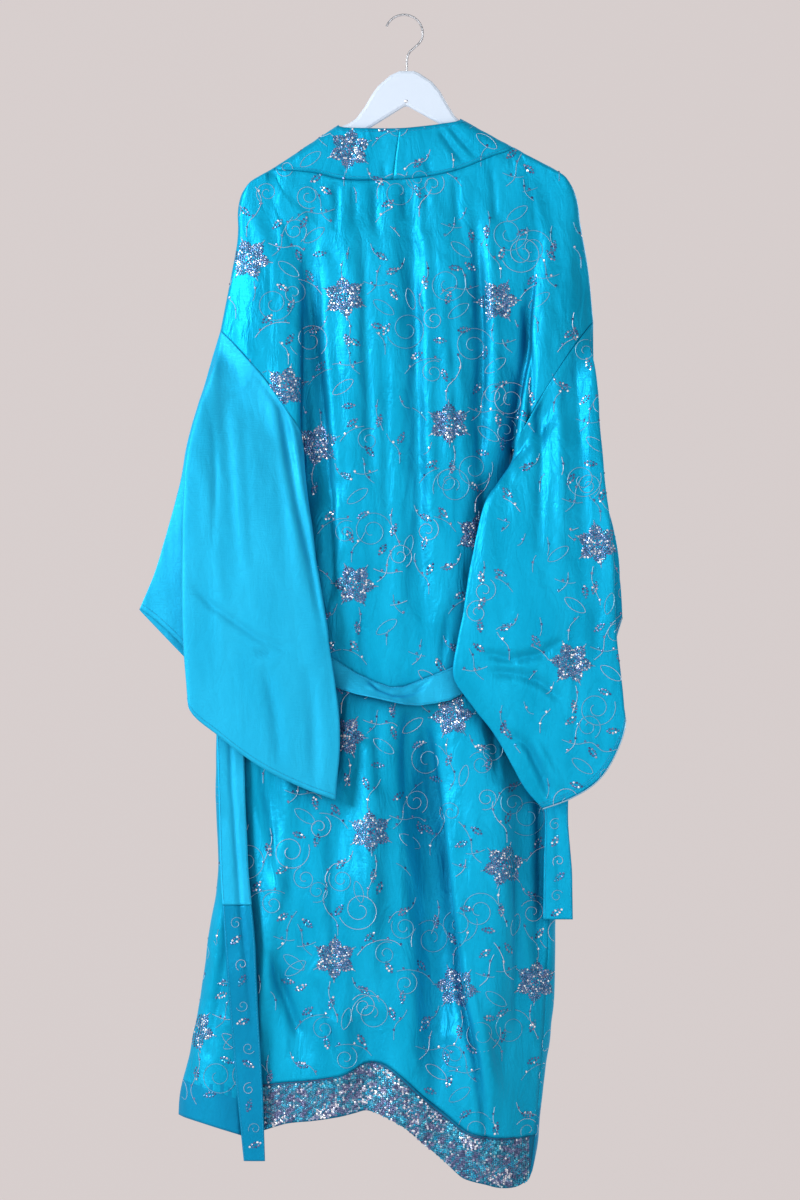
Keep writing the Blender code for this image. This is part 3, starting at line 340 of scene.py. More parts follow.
LEFT_SLEEVE = SleeveLines(
    Side.LEFT,
    top_fold=((-253, 0, -435), (-275, -5, -514), (-296, -12, -586), (-305, -18, -641), (-323, -24, -710),
              (-341, -28, -773), (-361, -30, -824)),
    tuck=((-250, -6, -439), (-260, -8, -470), (-272, -15, -515), (-285, -30, -590), (-284, -38, -645),
          (-285, -43, -740), (-286, -45, -830), (-286, -46, -898)),
    near_fold=((-242, -17, -450), (-272, -30, -516), (-295, -47, -590), (-301, -55, -645), (-303, -61, -752),
               (-301, -64, -862), (-293, -65, -949)),
    underarm=((-142, -12, -584), (-138, -24, -600), (-136, -37, -627), (-127, -52, -724), (-109, -57, -828),
              (-98, -59, -897), (-88, -61, -987), (-94, -64, -1081)),
    cuff_bow=(-4, -20))
RIGHT_SLEEVE = SleeveLines(
    Side.RIGHT,
    top_fold=((261, 0, -423), (262, -5, -500), (266, -12, -580), (276, -20, -668), (287, -25, -715),
              (294, -28, -757), (297, -29, -800), (299, -30, -835)),
    tuck=((259, -6, -425), (257, -8, -460), (255, -16, -505), (256, -32, -585), (262, -40, -672),
          (268, -44, -730), (272, -45, -800), (276, -46, -905)),
    near_fold=((252, -17, -436), (264, -32, -500), (267, -46, -562), (274, -54, -640), (282, -59, -710),
               (285, -61, -752), (287, -64, -858), (293, -65, -918), (296, -66, -969)),
    underarm=((154, -12, -602), (151, -24, -612), (137, -38, -635), (112, -50, -672), (93, -57, -752),
              (86, -59, -799), (73, -61, -867), (63, -63, -900), (92, -64, -949), (133, -65, -1003),
              (162, -66, -1059), (191, -67, -1092)),
    cuff_bow=(22, -24))


@dataclass
class Form:
    """The robe's coarse rows of points, which the solids share."""

    lines: Outline = field(default_factory=Outline)

    def shoulder_height(self, x: float) -> float:
        """Height of the line on which the cloth turns over the hanger."""
        return table(self.lines.shoulder, 1, x)

    def fold_depth(self, x: float, z: float) -> float:
        """How far the main folds push the back in at a place."""
        depth = 0.0
        for top_x, top_z, low_x, low_z, width, push in self.lines.back_folds:
            share = (top_z - z) / (top_z - low_z)
            if -0.15 < share < 1.15:
                fade = ease((share + 0.15) / 0.4) * ease((1.15 - share) / 0.4)
                offset = (x - mix(top_x, low_x, share)) / width
                depth += push * fade * math.exp(-offset * offset)
        return depth

    def back_y(self, x: float, z: float) -> float:
        """The back panel's y at a place between its two valleys or side seams."""
        lines = self.lines
        left, right = (at_height(valley if z > valley[-1][2] else seam, z)
                       for valley, seam in zip(lines.valley, lines.seam))
        share = min(max((x - left[0]) / (right[0] - left[0]), 0.0), 1.0)
        below = max(self.shoulder_height(x) - z, 0.0)
        drop = min(below / lines.edge_round, 1.0)
        turn = math.sqrt(1 - (1 - drop) ** 2)
        power = lines.chest_power if z > lines.valley[1][-1][2] else lines.skirt_power
        fill = 1 - abs(2 * share - 1) ** power
        fill = mix(1.0, fill, ease((below - 10) / 60))
        full = table(lines.back_depth, 1, z)
        depth = mix(lines.edge_round + 0.4, full, ease((below - lines.edge_round) / 15)) * turn
        edge = mix(left[1], right[1], share)
        folds = self.fold_depth(x, z) * min(1.0, 4 * fill) * ease((below - lines.edge_round) / 30)
        return edge + (-depth - edge) * fill + folds

    def drop_point(self, side: int, column: int, row: float, front: bool) -> Row:
        """A point of the drop shoulder in one of its columns, at a share of the way to the armhole."""
        lines = self.lines
        valleys = (lines.valley[side], lines.front_valley[side])
        valley = along(valleys[front], row)
        outer = along(lines.outer[side], row)
        share, from_valley, from_fold, back_depth, front_depth = lines.drop[column]
        span = math.hypot(outer[0] - valley[0], outer[2] - valley[2])
        station = share + (from_valley - from_fold) / span
        x, _, z = mix(valley, outer, station)
        z += lines.armhole_bow * math.sin(math.pi * station) * row ** 3
        top_x = mix(valleys[0][0][0], lines.outer[side][0][0], station)
        top_z = mix(valleys[0][0][2], lines.outer[side][0][2], station)
        z += (self.shoulder_height(top_x) - top_z) * (1 - row) ** 8
        if row == 0:
            return (x, 0.0, z)
        full = front_depth if front else back_depth
        depth = abs(valley[1])
        if column:
            depth = mix(min(full, lines.drop_top_depth), full, ease(row))
            below = min(row * lines.drop_length / lines.edge_round, 1.0)
            depth *= math.sqrt(1 - (1 - below) ** 2)
        return (x, depth if front else -depth, z)

    def neck_point(self, column: int) -> Row:
        """A point of the neck seam, for the columns between its two ends."""
        seam, last = self.lines.neck_seam, self.lines.columns
        if 1 <= column <= 4:
            x, depth, z = seam[column - 1]
        elif 1 <= last - column <= 4:
            x, depth, z = seam[column - last]
        else:
            x = mix(seam[3][0], seam[-4][0], (column - 4) / (last - 8))
            depth, z = table(seam[3:-3], 1, x), table(seam[3:-3], 2, x)
        return (x, -depth, z)

    def column_share(self, column: int, row: float) -> float:
        """Where a column of the back lies between its side lines."""
        even = column / self.lines.columns
        if column in (0, self.lines.columns):
            return even
        left, right = self.lines.valley[0][0][0], self.lines.valley[1][0][0]
        return mix((self.neck_point(column)[0] - left) / (right - left), even, ease(row / 0.4))

    def middle(self) -> np.ndarray:
        """The back between its valleys and side seams, from the neck seam to the hem."""
        lines, last = self.lines, self.lines.columns
        rows = []
        for number, row in enumerate(lines.upper_rows):
            left, right = along(lines.valley[0], row), along(lines.valley[1], row)
            points = [left]
            for column in range(1, last):
                neck = self.neck_point(column)
                if number == 0:
                    points.append(neck)
                    continue
                step = self.column_share(column, row)
                sag = neck[2] - mix(lines.valley[0][0][2], lines.valley[1][0][2], self.column_share(column, 0))
                z = mix(left[2], right[2], step) + sag * (1 - row) ** 2
                x = mix(left[0], right[0], step)
                points.append((x, self.back_y(x, z), z))
            rows.append(points + [right])
        for number in range(1, lines.lower_rows + lines.border_rows + 1):
            rows.append([self.lower_back_point(column / last, number) for column in range(last + 1)])
        return np.array(rows, float)

    def lower_height(self, step: float, number: int) -> float:
        """Height of a point of the lower back, from the underarm to the border and the hem."""
        lines = self.lines
        underarm = mix(lines.valley[0][-1][2], lines.valley[1][-1][2], step)
        hem_x = mix(lines.border[0][0], lines.border[-1][0], step)
        top, hem = table(lines.border, 1, hem_x), table(lines.border, 2, hem_x)
        if number > lines.lower_rows:
            return mix(top, hem, (number - lines.lower_rows) / lines.border_rows)
        share = number / lines.lower_rows
        level = mix(lines.border[0][1], lines.border[-1][1], step)
        return mix(underarm, level, share) + (top - level) * ease((share - 0.45) / 0.55)

    def lower_back_point(self, step: float, number: int) -> Row:
        """A point of the lower back between its side seams."""
        z = self.lower_height(step, number)
        left, right = at_height(self.lines.seam[0], z), at_height(self.lines.seam[1], z)
        x = mix(left[0], right[0], step)
        if step in (0.0, 1.0):
            return (x, (left if step == 0 else right)[1], z)
        return (x, self.back_y(x, z), z)

    def drop_rows(self, side: int, front: bool) -> np.ndarray:
        """One layer of a drop shoulder, in rows from its valley to its outer fold."""
        columns = range(len(self.lines.drop))
        return np.array([[self.drop_point(side, column, row, front) for column in columns]
                         for row in self.lines.upper_rows], float)

    def span(self, start: Row, end: Row) -> list[Row]:
        """One front row, from its collar seam to its side."""
        points = []
        for column in range(self.lines.front_columns + 1):
            share = column / self.lines.front_columns
            x, y, z = mix(start, end, share)
            points.append((x, y + table(self.lines.front_bulge, 1, z) * math.sin(math.pi * share), z))
        return points

    def front(self, side: int) -> tuple[np.ndarray, np.ndarray]:
        """A front from its collar seam to its side.

        Args:
            side: 0 for the left one, 1 for the right one.

        Returns:
            All its rows down to the hem, and the two columns that turn round the side, from the underarm on.
        """
        lines = self.lines
        neck = self.neck_point(1 if side == 0 else lines.columns - 1)
        rows = [[neck] + [lines.valley[side][0]] * lines.front_columns]
        for row in lines.upper_rows[1:]:
            rows.append(self.span(along(lines.front_edge[side], row), along(lines.front_valley[side], row)))
        valley = along(lines.valley[side], 1)
        turned = [[lines.edge[side][0], (valley[0] + 0.8 * (2 * side - 1), valley[1] + 2, valley[2] - 2)]]
        top, hem = lines.low_front_edge[side][0][2], lines.low_front_edge[side][-1][2]
        for number in range(1, lines.lower_rows + lines.border_rows + 1):
            z = self.lower_height(float(side), number)
            if number > lines.lower_rows:
                far = mix(hem + lines.front_border, hem, (number - lines.lower_rows) / lines.border_rows)
            else:
                far = mix(top, hem + lines.front_border, number / lines.lower_rows)
            side_z, outer_z = mix(z, far, lines.side_level), mix(z, far, lines.edge_level)
            rows.append(self.span(at_height(lines.low_front_edge[side], far) + (far,),
                                  at_height(lines.front_side[side], side_z) + (side_z,)))
            seam = self.lower_back_point(float(side), number)
            turned.append([at_height(lines.edge[side], outer_z) + (outer_z,), seam])
        return np.array(rows, float), np.array(turned, float)

    def collar(self, side: int, front_edge: np.ndarray) -> np.ndarray:
        """Half the collar band, in rows across it, from the centre of the neck to the front hem.

        Args:
            side: 0 for the left half, 1 for the right half.
            front_edge: The front's points along the band, from just below the neck.

        Returns:
            The rows, each from the seam to the free edge.
        """
        lines = self.lines
        middle, last = lines.columns // 2, lines.columns
        columns = range(middle, 0, -1) if side == 0 else range(middle, last)
        ends = lines.neck_edge if side == 0 else lines.neck_edge[::-1]
        centre_x = mix(lines.neck_edge[0][0], lines.neck_edge[-1][0], 0.5)
        count = len(columns) - 1
        rows = []
        for number, column in enumerate(columns):
            from_end = count - number
            if from_end < 3:
                free = ends[from_end]
            else:
                x = mix(centre_x, ends[2][0], number / (count - 2))
                free = (x, table(lines.neck_edge[1:-1], 1, x), table(lines.neck_edge[1:-1], 2, x))
            rows.append(self.band_row(self.neck_point(column), free, number == count))
        top, low = lines.free_edge[side][0][2], lines.free_edge[side][-1][2]
        seam_top, seam_low = rows[-1][0][2], front_edge[-1][2]
        for point in front_edge:
            z = mix(top, low, (seam_top - point[2]) / (seam_top - seam_low))
            rows.append(self.band_row(tuple(point), at_height(lines.free_edge[side], z) + (z,), False))
        return np.array(rows, float)

    @staticmethod
    def band_row(start: Row, free: Row, flat: bool) -> list[Row]:
        """One row across the band, slightly bowed unless it lies on the shoulder."""
        points = []
        for share in (0, 1 / 3, 2 / 3, 1):
            x, y, z = mix(start, free, share)
            points.append((x, y + (0 if flat else math.copysign(1.5, y) * math.sin(math.pi * share)), z))
        return points

    def sleeve(self, lines: SleeveLines) -> np.ndarray:
        """A sleeve's rings, from the armhole to the cuff. A ring starts and ends at the top fold."""
        side, outward, last = lines.side.value, lines.side.outward, len(lines.columns) - 1
        near, far = self.drop_rows(side, False)[-1], self.drop_rows(side, True)[-1]
        ease_x, ease_y, ease_z = lines.underarm_ease
        own = []
        for point, share in ((near[0], 1.0), ((near[0] + far[0]) / 2, 0.4)):
            own.append(point + np.array((outward * (ease_x + (1 - share)), ease_y * share, ease_z)))
        rings = [list(near[:0:-1]) + own + [far[1]] + list(far[1:])]
        for row in lines.rows[1:]:
            ring = [self.sleeve_point(lines, column, row, False) for column in range(last, -1, -1)]
            under = self.sleeve_point(lines, 0, row, False)
            swell = mix(5.0, 5.5, ease(row / 0.3))
            narrow = mix(4.0, 0.0, ease(row / 0.15))
            ring.append((under[0] + outward * (1.5 + narrow), under[1] + swell, under[2]))
            for column in range(last):
                x, y, z = self.sleeve_point(lines, column, row, True)
                if column < 2:
                    x += outward * (2.5 + (1 + column) * narrow)
                    y += 4.0 - column
                ring.append((x, y, z))
            rings.append(ring + [ring[0]])
        return np.array(rings, float)

    def sleeve_point(self, lines: SleeveLines, column: int, row: float, front: bool) -> Row:
        """A point of a sleeve between its underarm seam (column 0) and its top fold (the last column)."""
        station = lines.columns[column]
        last = len(lines.columns) - 1
        top, under = along(lines.top_fold, row), along(lines.underarm, row)
        bend = math.sin(math.pi * station) * row ** 4
        bow_x, bow_z = lines.cuff_bow
        drop = self.lines.drop[column]
        if front:
            x, y, z = mix(under, top, station)
            gap = mix(drop[4] + 6 * (1 - station), lines.depth, ease(row / 0.12))
            y += gap * min(1.0, 4 * (1 - station), 0.4 + 1.8 * station)
            return (x + 0.3 * bow_x * bend, y, z + 0.3 * bow_z * bend)
        if station == 1.0:
            return top
        if station > 0.95:
            return along(lines.tuck, row)
        share = station / 0.9
        near = along(lines.near_fold, row)
        x, y, z = mix(under, near, share)
        if column:
            crown = max(math.sin(math.pi * share) * lines.crown, lines.least_crown)
            y = mix(-drop[3], y - crown, ease(row / (0.2 if column < last - 2 else 0.1)))
        if column == 1:
            y = min(y, under[1] - lines.least_crown)
        return (x + bow_x * bend, y, z + bow_z * bend)


# Which borders hold still: first row, last row, first column, last column.
Held = tuple[bool, bool, bool, bool]
TOP_AND_SIDES_HELD: Held = (True, False, True, True)
SIDES_HELD: Held = (False, False, True, True)


@dataclass(frozen=True)
class Crease:
    """A soft trough (+) or ridge (-) pressed into the cloth along a line of (x, z) points."""

    line: tuple[Row, ...]
    width: float
    depth: float


@dataclass(frozen=True)
class Grain:
    """Seeded unevenness of a cloth: soft swells and small ripples that hang with the cloth."""

    seed: float
    swell: float = 2.6
    ripple: float = 0.5

    def push(self, x: float, y: float, z: float) -> float:
        """How far the cloth is pushed along its normal at a place, in millimetres."""
        low = 0.75 * noise.noise(Vector((x / 24 + self.seed, y / 60, z / 170)))
        low += 0.5 * noise.noise(Vector(((x + 0.35 * z) / 20, y / 50 + self.seed, (z - 0.35 * x) / 75)))
        high = noise.noise(Vector((x / 8, y / 30 + self.seed, z / 34)))
        return self.swell * low + self.ripple * high


class Shell:
    """A thin woven sheet given as a grid of points, with its own closed surface and normals.

    The grid runs along its rows (first axis) and columns (second axis). The front face looks along
    the row direction crossed with the column direction, turned by `flip`.
    """

    CRISP = 1.5

    def __init__(self, name: str, grid: np.ndarray, flip: bool = False, closed: bool = False) -> None:
        """Hold a grid.

        Args:
            name: The piece's name.
            grid: Points in millimetres, of shape (rows, columns, 3).
            flip: Whether the outer side is the other one.
            closed: Whether the last column is the first again.
        """
        self.name = name
        self.grid = grid
        self.flip = flip
        self.closed = closed

    def normals(self) -> np.ndarray:
        """The unit normals of the grid's points, outward."""
        down = np.gradient(self.grid, axis=0)
        over = np.gradient(self.grid, axis=1)
        if self.closed:
            over[:, 0] = over[:, -1] = (self.grid[:, 1] - self.grid[:, -2]) / 2
        normal = np.cross(down, over)
        length = np.linalg.norm(normal, axis=2)
        normal /= np.maximum(length, 1e-9)[..., None]
        return -normal if self.flip else normal

    def press(self, creases: Iterable[Crease], grain: Grain, hold: float = 10.0,
              held: Held = TOP_AND_SIDES_HELD) -> None:
        """Press creases and the cloth's own unevenness into the sheet, along its normals.

        Args:
            creases: The creases, in the x-z plane.
            grain: The unevenness.
            hold: Over how many millimetres the push fades towards the borders that hold still.
            held: Which borders hold still.
        """
        normal = self.normals()
        push = np.zeros(self.grid.shape[:2])
        x, z = self.grid[..., 0], self.grid[..., 2]
        for crease in creases:
            reach = np.full(x.shape, 1e9)
            fade = np.zeros(x.shape)
            count = len(crease.line) - 1
            for number, (start, end) in enumerate(zip(crease.line, crease.line[1:])):
                span_x, span_z = end[0] - start[0], end[1] - start[1]
                share = ((x - start[0]) * span_x + (z - start[1]) * span_z) / (span_x ** 2 + span_z ** 2)
                share = np.clip(share, 0, 1)
                away = np.hypot(x - start[0] - share * span_x, z - start[1] - share * span_z)
                whole = (number + share) / count
                near = away < reach
                reach = np.where(near, away, reach)
                fade = np.where(near, 4 * whole * (1 - whole), fade)
            profile = np.exp(-(reach / crease.width) ** 2)
            push -= self.CRISP * crease.depth * profile * (0.12 + 0.88 * np.sqrt(fade))
        flat = self.grid.reshape(-1, 3)
        push += np.array([grain.push(*point) for point in flat.tolist()]).reshape(push.shape)
        self.grid = self.grid + normal * (push * self.border_fade(hold, held))[..., None]

    def border_fade(self, hold: float, held: Held) -> np.ndarray:
        """How much of a push each point takes: none at a border that holds still, all of it further in."""
        fade = np.ones(self.grid.shape[:2])
        for axis in (0, 1):
            steps = np.linalg.norm(np.diff(self.grid, axis=axis), axis=2)
            ahead = np.insert(np.cumsum(steps, axis=axis), 0, 0, axis=axis)
            total = ahead[-1:, :] if axis == 0 else ahead[:, -1:]
            for near, still in ((ahead, held[2 * axis]), (total - ahead, held[2 * axis + 1])):
                if still:
                    fade *= np.clip(near / hold, 0, 1) ** 1.5
        return fade


@dataclass(frozen=True)
class Cloth:
    """How a piece of cloth is built from shells."""

    name: str
    material: bpy.types.Material
    thickness: float = 1.1

    def weave(self, shells: Sequence[Shell]) -> bpy.types.Object:
        """Make one closed thin mesh of the shells, which share their border points.

        Args:
            shells: Grids with the same outer side, welded where their borders meet.

        Returns:
            The piece.
        """
        points: list[Row] = []
        pushes: list[np.ndarray] = []
        spots: dict[tuple[int, int, int], int] = {}
        faces: list[tuple[int, ...]] = []
        for shell in shells:
            normals = shell.normals()
            index = np.empty(shell.grid.shape[:2], int)
            for i in range(index.shape[0]):
                for j in range(index.shape[1]):
                    point = shell.grid[i, j]
                    key = tuple(int(round(value * 50)) for value in point)
                    spot = spots.setdefault(key, len(points))
                    if spot == len(points):
                        points.append(point)
                        pushes.append(normals[i, j].copy())
                    else:
                        pushes[spot] += normals[i, j]
                    index[i, j] = spot
            for i in range(index.shape[0] - 1):
                for j in range(index.shape[1] - 1):
                    corners = [index[i, j], index[i + 1, j], index[i + 1, j + 1], index[i, j + 1]]
                    if shell.flip:
                        corners.reverse()
                    corners = [int(spot) for n, spot in enumerate(corners) if spot != corners[n - 1]]
                    if len(set(corners)) >= 3:
                        faces.append(tuple(dict.fromkeys(corners)))
        push = np.array(pushes)
        push /= np.maximum(np.linalg.norm(push, axis=1), 1e-9)[:, None]
        middle = np.array(points)
        half = push * self.thickness / 2
        count = len(points)
        both = np.concatenate([middle + half, middle - half])
        uses: dict[tuple[int, int], int] = {}
        for face in faces:
            for start, end in zip(face, face[1:] + face[:1]):
                uses[(start, end)] = uses.get((start, end), 0) + 1
        rim = [(start, end) for start, end in uses if (end, start) not in uses]
        walls = list(faces)
        walls += [tuple(spot + count for spot in reversed(face)) for face in faces]
        walls += [(end, start, start + count, end + count) for start, end in rim]
        item = place_mesh(self.name, (both * MM).tolist(), walls, self.material)
        item.data.validate()
        item.data.shade_smooth()
        return item


def srgb(code: str) -> tuple[float, float, float, float]:
    """The linear colour of an sRGB hex code."""
    linear = []
    for spot in (1, 3, 5):
        value = int(code[spot:spot + 2], 16) / 255
        linear.append(value / 12.92 if value <= 0.04045 else ((value + 0.055) / 1.055) ** 2.4)
    return (linear[0], linear[1], linear[2], 1.0)


class Nodes:
    """A material's node tree with its shader in place."""

    def __init__(self, name: str) -> None:
        """Start an empty material with a principled shader.

        Args:
            name: The material's name.
        """
        self.material = bpy.data.materials.new(name)
        self.material.use_nodes = True
        self.tree = self.material.node_tree
        self.tree.nodes.clear()
        self.shader = self.add("ShaderNodeBsdfPrincipled")
        self.output = self.add("ShaderNodeOutputMaterial", links={"Surface": self.shader.outputs[0]})

    def add(self, kind: str, settings: Optional[dict] = None, links: Optional[dict] = None,
            values: Optional[dict] = None) -> bpy.types.Node:
        """Add a node.

        Args:
            kind: The node's type.
            settings: Its properties.
            links: What goes into its sockets.
            values: Constants on its sockets.

        Returns:
            The node.
        """
        node = self.tree.nodes.new(kind)
        for name, value in (settings or {}).items():
            setattr(node, name, value)
        return self.fill(node, values or {}, links or {})

    def fill(self, node: bpy.types.Node, values: dict, links: dict) -> bpy.types.Node:
        """Set constants on a node's sockets and link its others."""
        for name, value in values.items():
            node.inputs[name].default_value = value
        for name, source in links.items():
            self.tree.links.new(source, node.inputs[name])
        return node

    def ramp(self, source: bpy.types.NodeSocket, stops: Sequence[tuple[float, str]]) -> bpy.types.NodeSocket:
        """Colours by a value.

        Args:
            source: The value.
            stops: Places and sRGB codes.

        Returns:
            The colour socket.
        """
        node = self.add("ShaderNodeValToRGB", links={"Fac": source})
        items = node.color_ramp.elements
        while len(items) < len(stops):
            items.new(0.5)
        for item, (place, code) in zip(items, stops):
            item.position = place
            item.color = srgb(code)
        return node.outputs["Color"]

    def noise(self, scale: Row, values: dict) -> bpy.types.NodeSocket:
        """Noise over object coordinates in metres times a scale per axis."""
        place = self.add("ShaderNodeTexCoord")
        spot = self.add("ShaderNodeMapping", links={"Vector": place.outputs["Object"]}, values={"Scale": scale})
        return self.add("ShaderNodeTexNoise", links={"Vector": spot.outputs["Vector"]},
                        values={"Scale": 1.0, **values}).outputs["Fac"]


@dataclass(frozen=True)
class Satin:
    """Woven satin: floats with a soft gloss, a little uneven in colour, with fine slubs across."""

    name: str
    fold_shade_code: str
    shade_code: str
    bright_code: str
    rough: float
    slub: float
    crumple: float

    def build(self) -> bpy.types.Material:
        """The eye sees turquoise with a streaky sheen, and painted shade that is deeper in folds than on ridges.
        """
        nodes = Nodes(self.name)
        # Slubs are about 1 mm high and 12 mm long, coarser than the 0.1 mm yarns, which no photo shows.
        slubs = nodes.noise((85.0, 85.0, 900.0), {"Detail": 3.0, "Roughness": 0.6})
        patches = nodes.noise((26.0, 26.0, 9.0), {"Detail": 2.0})
        colour = nodes.ramp(patches, ((0.3, self.shade_code), (0.7, self.bright_code)))
        # Painted shade: ambient occlusion deepens the colour in folds, for light that bounces between them.
        hidden = nodes.add("ShaderNodeAmbientOcclusion", {"samples": 6}, values={"Distance": 0.045})
        open_share = nodes.add("ShaderNodeMapRange", links={"Value": hidden.outputs["AO"]},
                               values={"From Min": 0.3, "From Max": 0.95})
        colour = nodes.add("ShaderNodeMix", {"data_type": "RGBA"}, links={
            0: open_share.outputs["Result"], 7: colour}, values={6: srgb(self.fold_shade_code)}).outputs[2]
        gloss = nodes.add("ShaderNodeMapRange", links={"Value": slubs},
                          values={"From Min": 0.25, "From Max": 0.75, "To Min": self.rough - 0.05,
                                  "To Max": self.rough + 0.08})
        crumple = nodes.noise((48.0, 48.0, 17.0), {"Detail": 3.0, "Roughness": 0.55, "Distortion": 0.6})
        middle = nodes.add("ShaderNodeMath", {"operation": "SUBTRACT"}, links={0: crumple}, values={1: 0.5})
        ridge = nodes.add("ShaderNodeMath", {"operation": "ABSOLUTE"}, links={0: middle.outputs[0]})
        low = nodes.add("ShaderNodeBump", links={"Height": ridge.outputs[0]},
                        values={"Strength": self.crumple, "Distance": 0.012})
        bump = nodes.add("ShaderNodeBump", links={"Height": slubs, "Normal": low.outputs["Normal"]},
                         values={"Strength": self.slub, "Distance": 0.0004})
        tint = srgb("#5FD8FF")
        nodes.fill(nodes.shader, {
            "IOR": 1.5, "Metallic": 0.35, "Specular IOR Level": 0.3, "Specular Tint": tint, "Sheen Weight": 0.05,
            "Sheen Roughness": 0.4, "Sheen Tint": tint, "Anisotropic": 0.4}, {
                "Base Color": colour, "Roughness": gloss.outputs["Result"], "Normal": bump.outputs["Normal"]})
        return nodes.material


@dataclass(frozen=True)
class Trim:
    """Small bright parts whose tone differs from one to the next."""

    name: str
    stops: tuple[tuple[float, str], ...]
    metallic: float
    rough: float

    def build(self) -> bpy.types.Material:
        """The eye sees small parts of a few near tones; a white top stop makes a few of them painted highlights.
        """
        nodes = Nodes(self.name)
        each = nodes.add("ShaderNodeNewGeometry")
        colour = nodes.ramp(each.outputs["Random Per Island"], self.stops)
        nodes.fill(nodes.shader, {"Metallic": self.metallic, "Roughness": self.rough}, {"Base Color": colour})
        return nodes.material


@dataclass(frozen=True)
class PaintedWood:
    """Painted wood: white satin paint with faint brush waves."""

    def build(self) -> bpy.types.Material:
        """The eye sees cool white paint with a broad soft shine."""
        nodes = Nodes("painted wood")
        waves = nodes.noise((30.0, 200.0, 200.0), {"Detail": 2.0})
        bump = nodes.add("ShaderNodeBump", links={"Height": waves},
                         values={"Strength": 0.15, "Distance": 0.0005})
        nodes.fill(nodes.shader, {"Base Color": srgb("#D2E1F2"), "Roughness": 0.32, "IOR": 1.5,
                                  "Coat Weight": 0.3}, {"Normal": bump.outputs["Normal"]})
        return nodes.material


@dataclass(frozen=True)
class Chrome:
    """Chromed steel wire."""

    def build(self) -> bpy.types.Material:
        """The eye sees a bright mirror-like grey, slightly scuffed."""
        nodes = Nodes("chrome")
        scuffs = nodes.add("ShaderNodeTexNoise", values={"Scale": 400.0, "Detail": 2.0})
        rough = nodes.add("ShaderNodeMapRange", links={"Value": scuffs.outputs["Fac"]},
                          values={"To Min": 0.12, "To Max": 0.26})
        nodes.fill(nodes.shader, {"Base Color": srgb("#C9CCD2"), "Metallic": 1.0},
                   {"Roughness": rough.outputs["Result"]})
        return nodes.material


class Finishes:
    """All finishes, made once."""

    def __init__(self) -> None:
        """Make the materials."""
        # The first code of each satin is painted shade for its folds and hollows.
        self.satin = Satin("satin", "#024573", "#069CC6", "#10AEDA", 0.43, 0.5, 0.26).build()
        self.plain = Satin("plain satin", "#0C78A2", "#20B0DE", "#26B8E6", 0.5, 1.0, 0.12).build()
        self.border_cloth = Satin("border satin", "#063F60", "#0E7098", "#127CA4", 0.45, 0.4, 0.2).build()
        # The deep satin is painted shade on the fronts' turned-up hem band; the left tail's figured end takes it
        # too.
        self.hem_cloth = Satin("doubled satin", "#024A78", "#0A86B4", "#0C92C0", 0.46, 0.5, 0.2).build()
        self.border_thread = Trim("dark lilac thread", ((0.0, "#3C5A80"), (1.0, "#8C8CB4")), 0.3, 0.45).build()
        self.thread = Trim("silver thread", ((0.0, "#7CBCDA"), (0.6, "#A0CAE0"), (1.0, "#D2DAEC")),
                           0.2, 0.5).build()
        # Painted highlights: the white top stops of the lilac, grey lilac and teal sequins stand in for glints.
        self.sequin = Trim("lilac sequins", ((0.0, "#3E4E80"), (0.25, "#5A74A8"), (0.4, "#3A96C0"),
                                             (0.55, "#6C80B0"), (0.8, "#8188B0"), (0.94, "#F4F4FC")),
                           0.6, 0.27).build()
        self.border_sequin = Trim("grey lilac sequins", ((0.0, "#3A4A70"), (0.5, "#5F6C98"), (0.85, "#8088B0"),
                                                         (0.97, "#E6EAF6")), 0.45, 0.36).build()
        self.aqua_sequin = Trim("aqua sequins", ((0.0, "#0E8EBC"), (0.6, "#1CAAD4"), (0.9, "#52C2DE")),
                                0.4, 0.36).build()
        # Painted highlights: pale sequins that stand in for clusters of glints on the hem border.
        self.painted_glint_sequin = Trim("bright sequins", ((0.0, "#6E86B0"), (0.4, "#A6B4D4"), (0.75, "#F4F4FC")),
                                  0.5, 0.27).build()
        self.teal_sequin = Trim("teal sequins", ((0.0, "#17688C"), (0.55, "#2C88AA"), (0.88, "#649FBC"),
                                                 (1.0, "#CFE2EC")), 0.5, 0.36).build()
        self.stitch = Trim("sewing thread", ((0.0, "#1198C6"), (1.0, "#2AB2DC")), 0.0, 0.6).build()
        self.wood = PaintedWood().build()
        self.chrome = Chrome().build()


class Canvas:
    """A ground on which small parts are laid, cast onto it along y."""

    def __init__(self, item: bpy.types.Object, towards: int) -> None:
        """Hold a ground.

        Args:
            item: The cloth.
            towards: 1 when seen from the back, -1 from the front.
        """
        mesh = item.data
        points = np.empty(len(mesh.vertices) * 3, np.float32)
        mesh.vertices.foreach_get("co", points)
        faces = [tuple(face.vertices) for face in mesh.polygons]
        self.tree = BVHTree.FromPolygons((points.reshape(-1, 3) / MM).tolist(), faces)
        self.towards = towards
        flat = points.reshape(-1, 3) / MM
        self.low, self.high = flat.min(axis=0), flat.max(axis=0)

    def spot(self, x: float, z: float) -> Optional[tuple[Vector, Vector]]:
        """The place and normal seen at x and z, or nothing."""
        if not (self.low[0] < x < self.high[0] and self.low[2] < z < self.high[2]):
            return None
        place, normal, _, _ = self.tree.ray_cast(Vector((x, -400 * self.towards, z)),
                                                 Vector((0, self.towards, 0)))
        if place is None:
            return None
        if normal.y * self.towards > 0:
            normal = -normal
        return place, normal


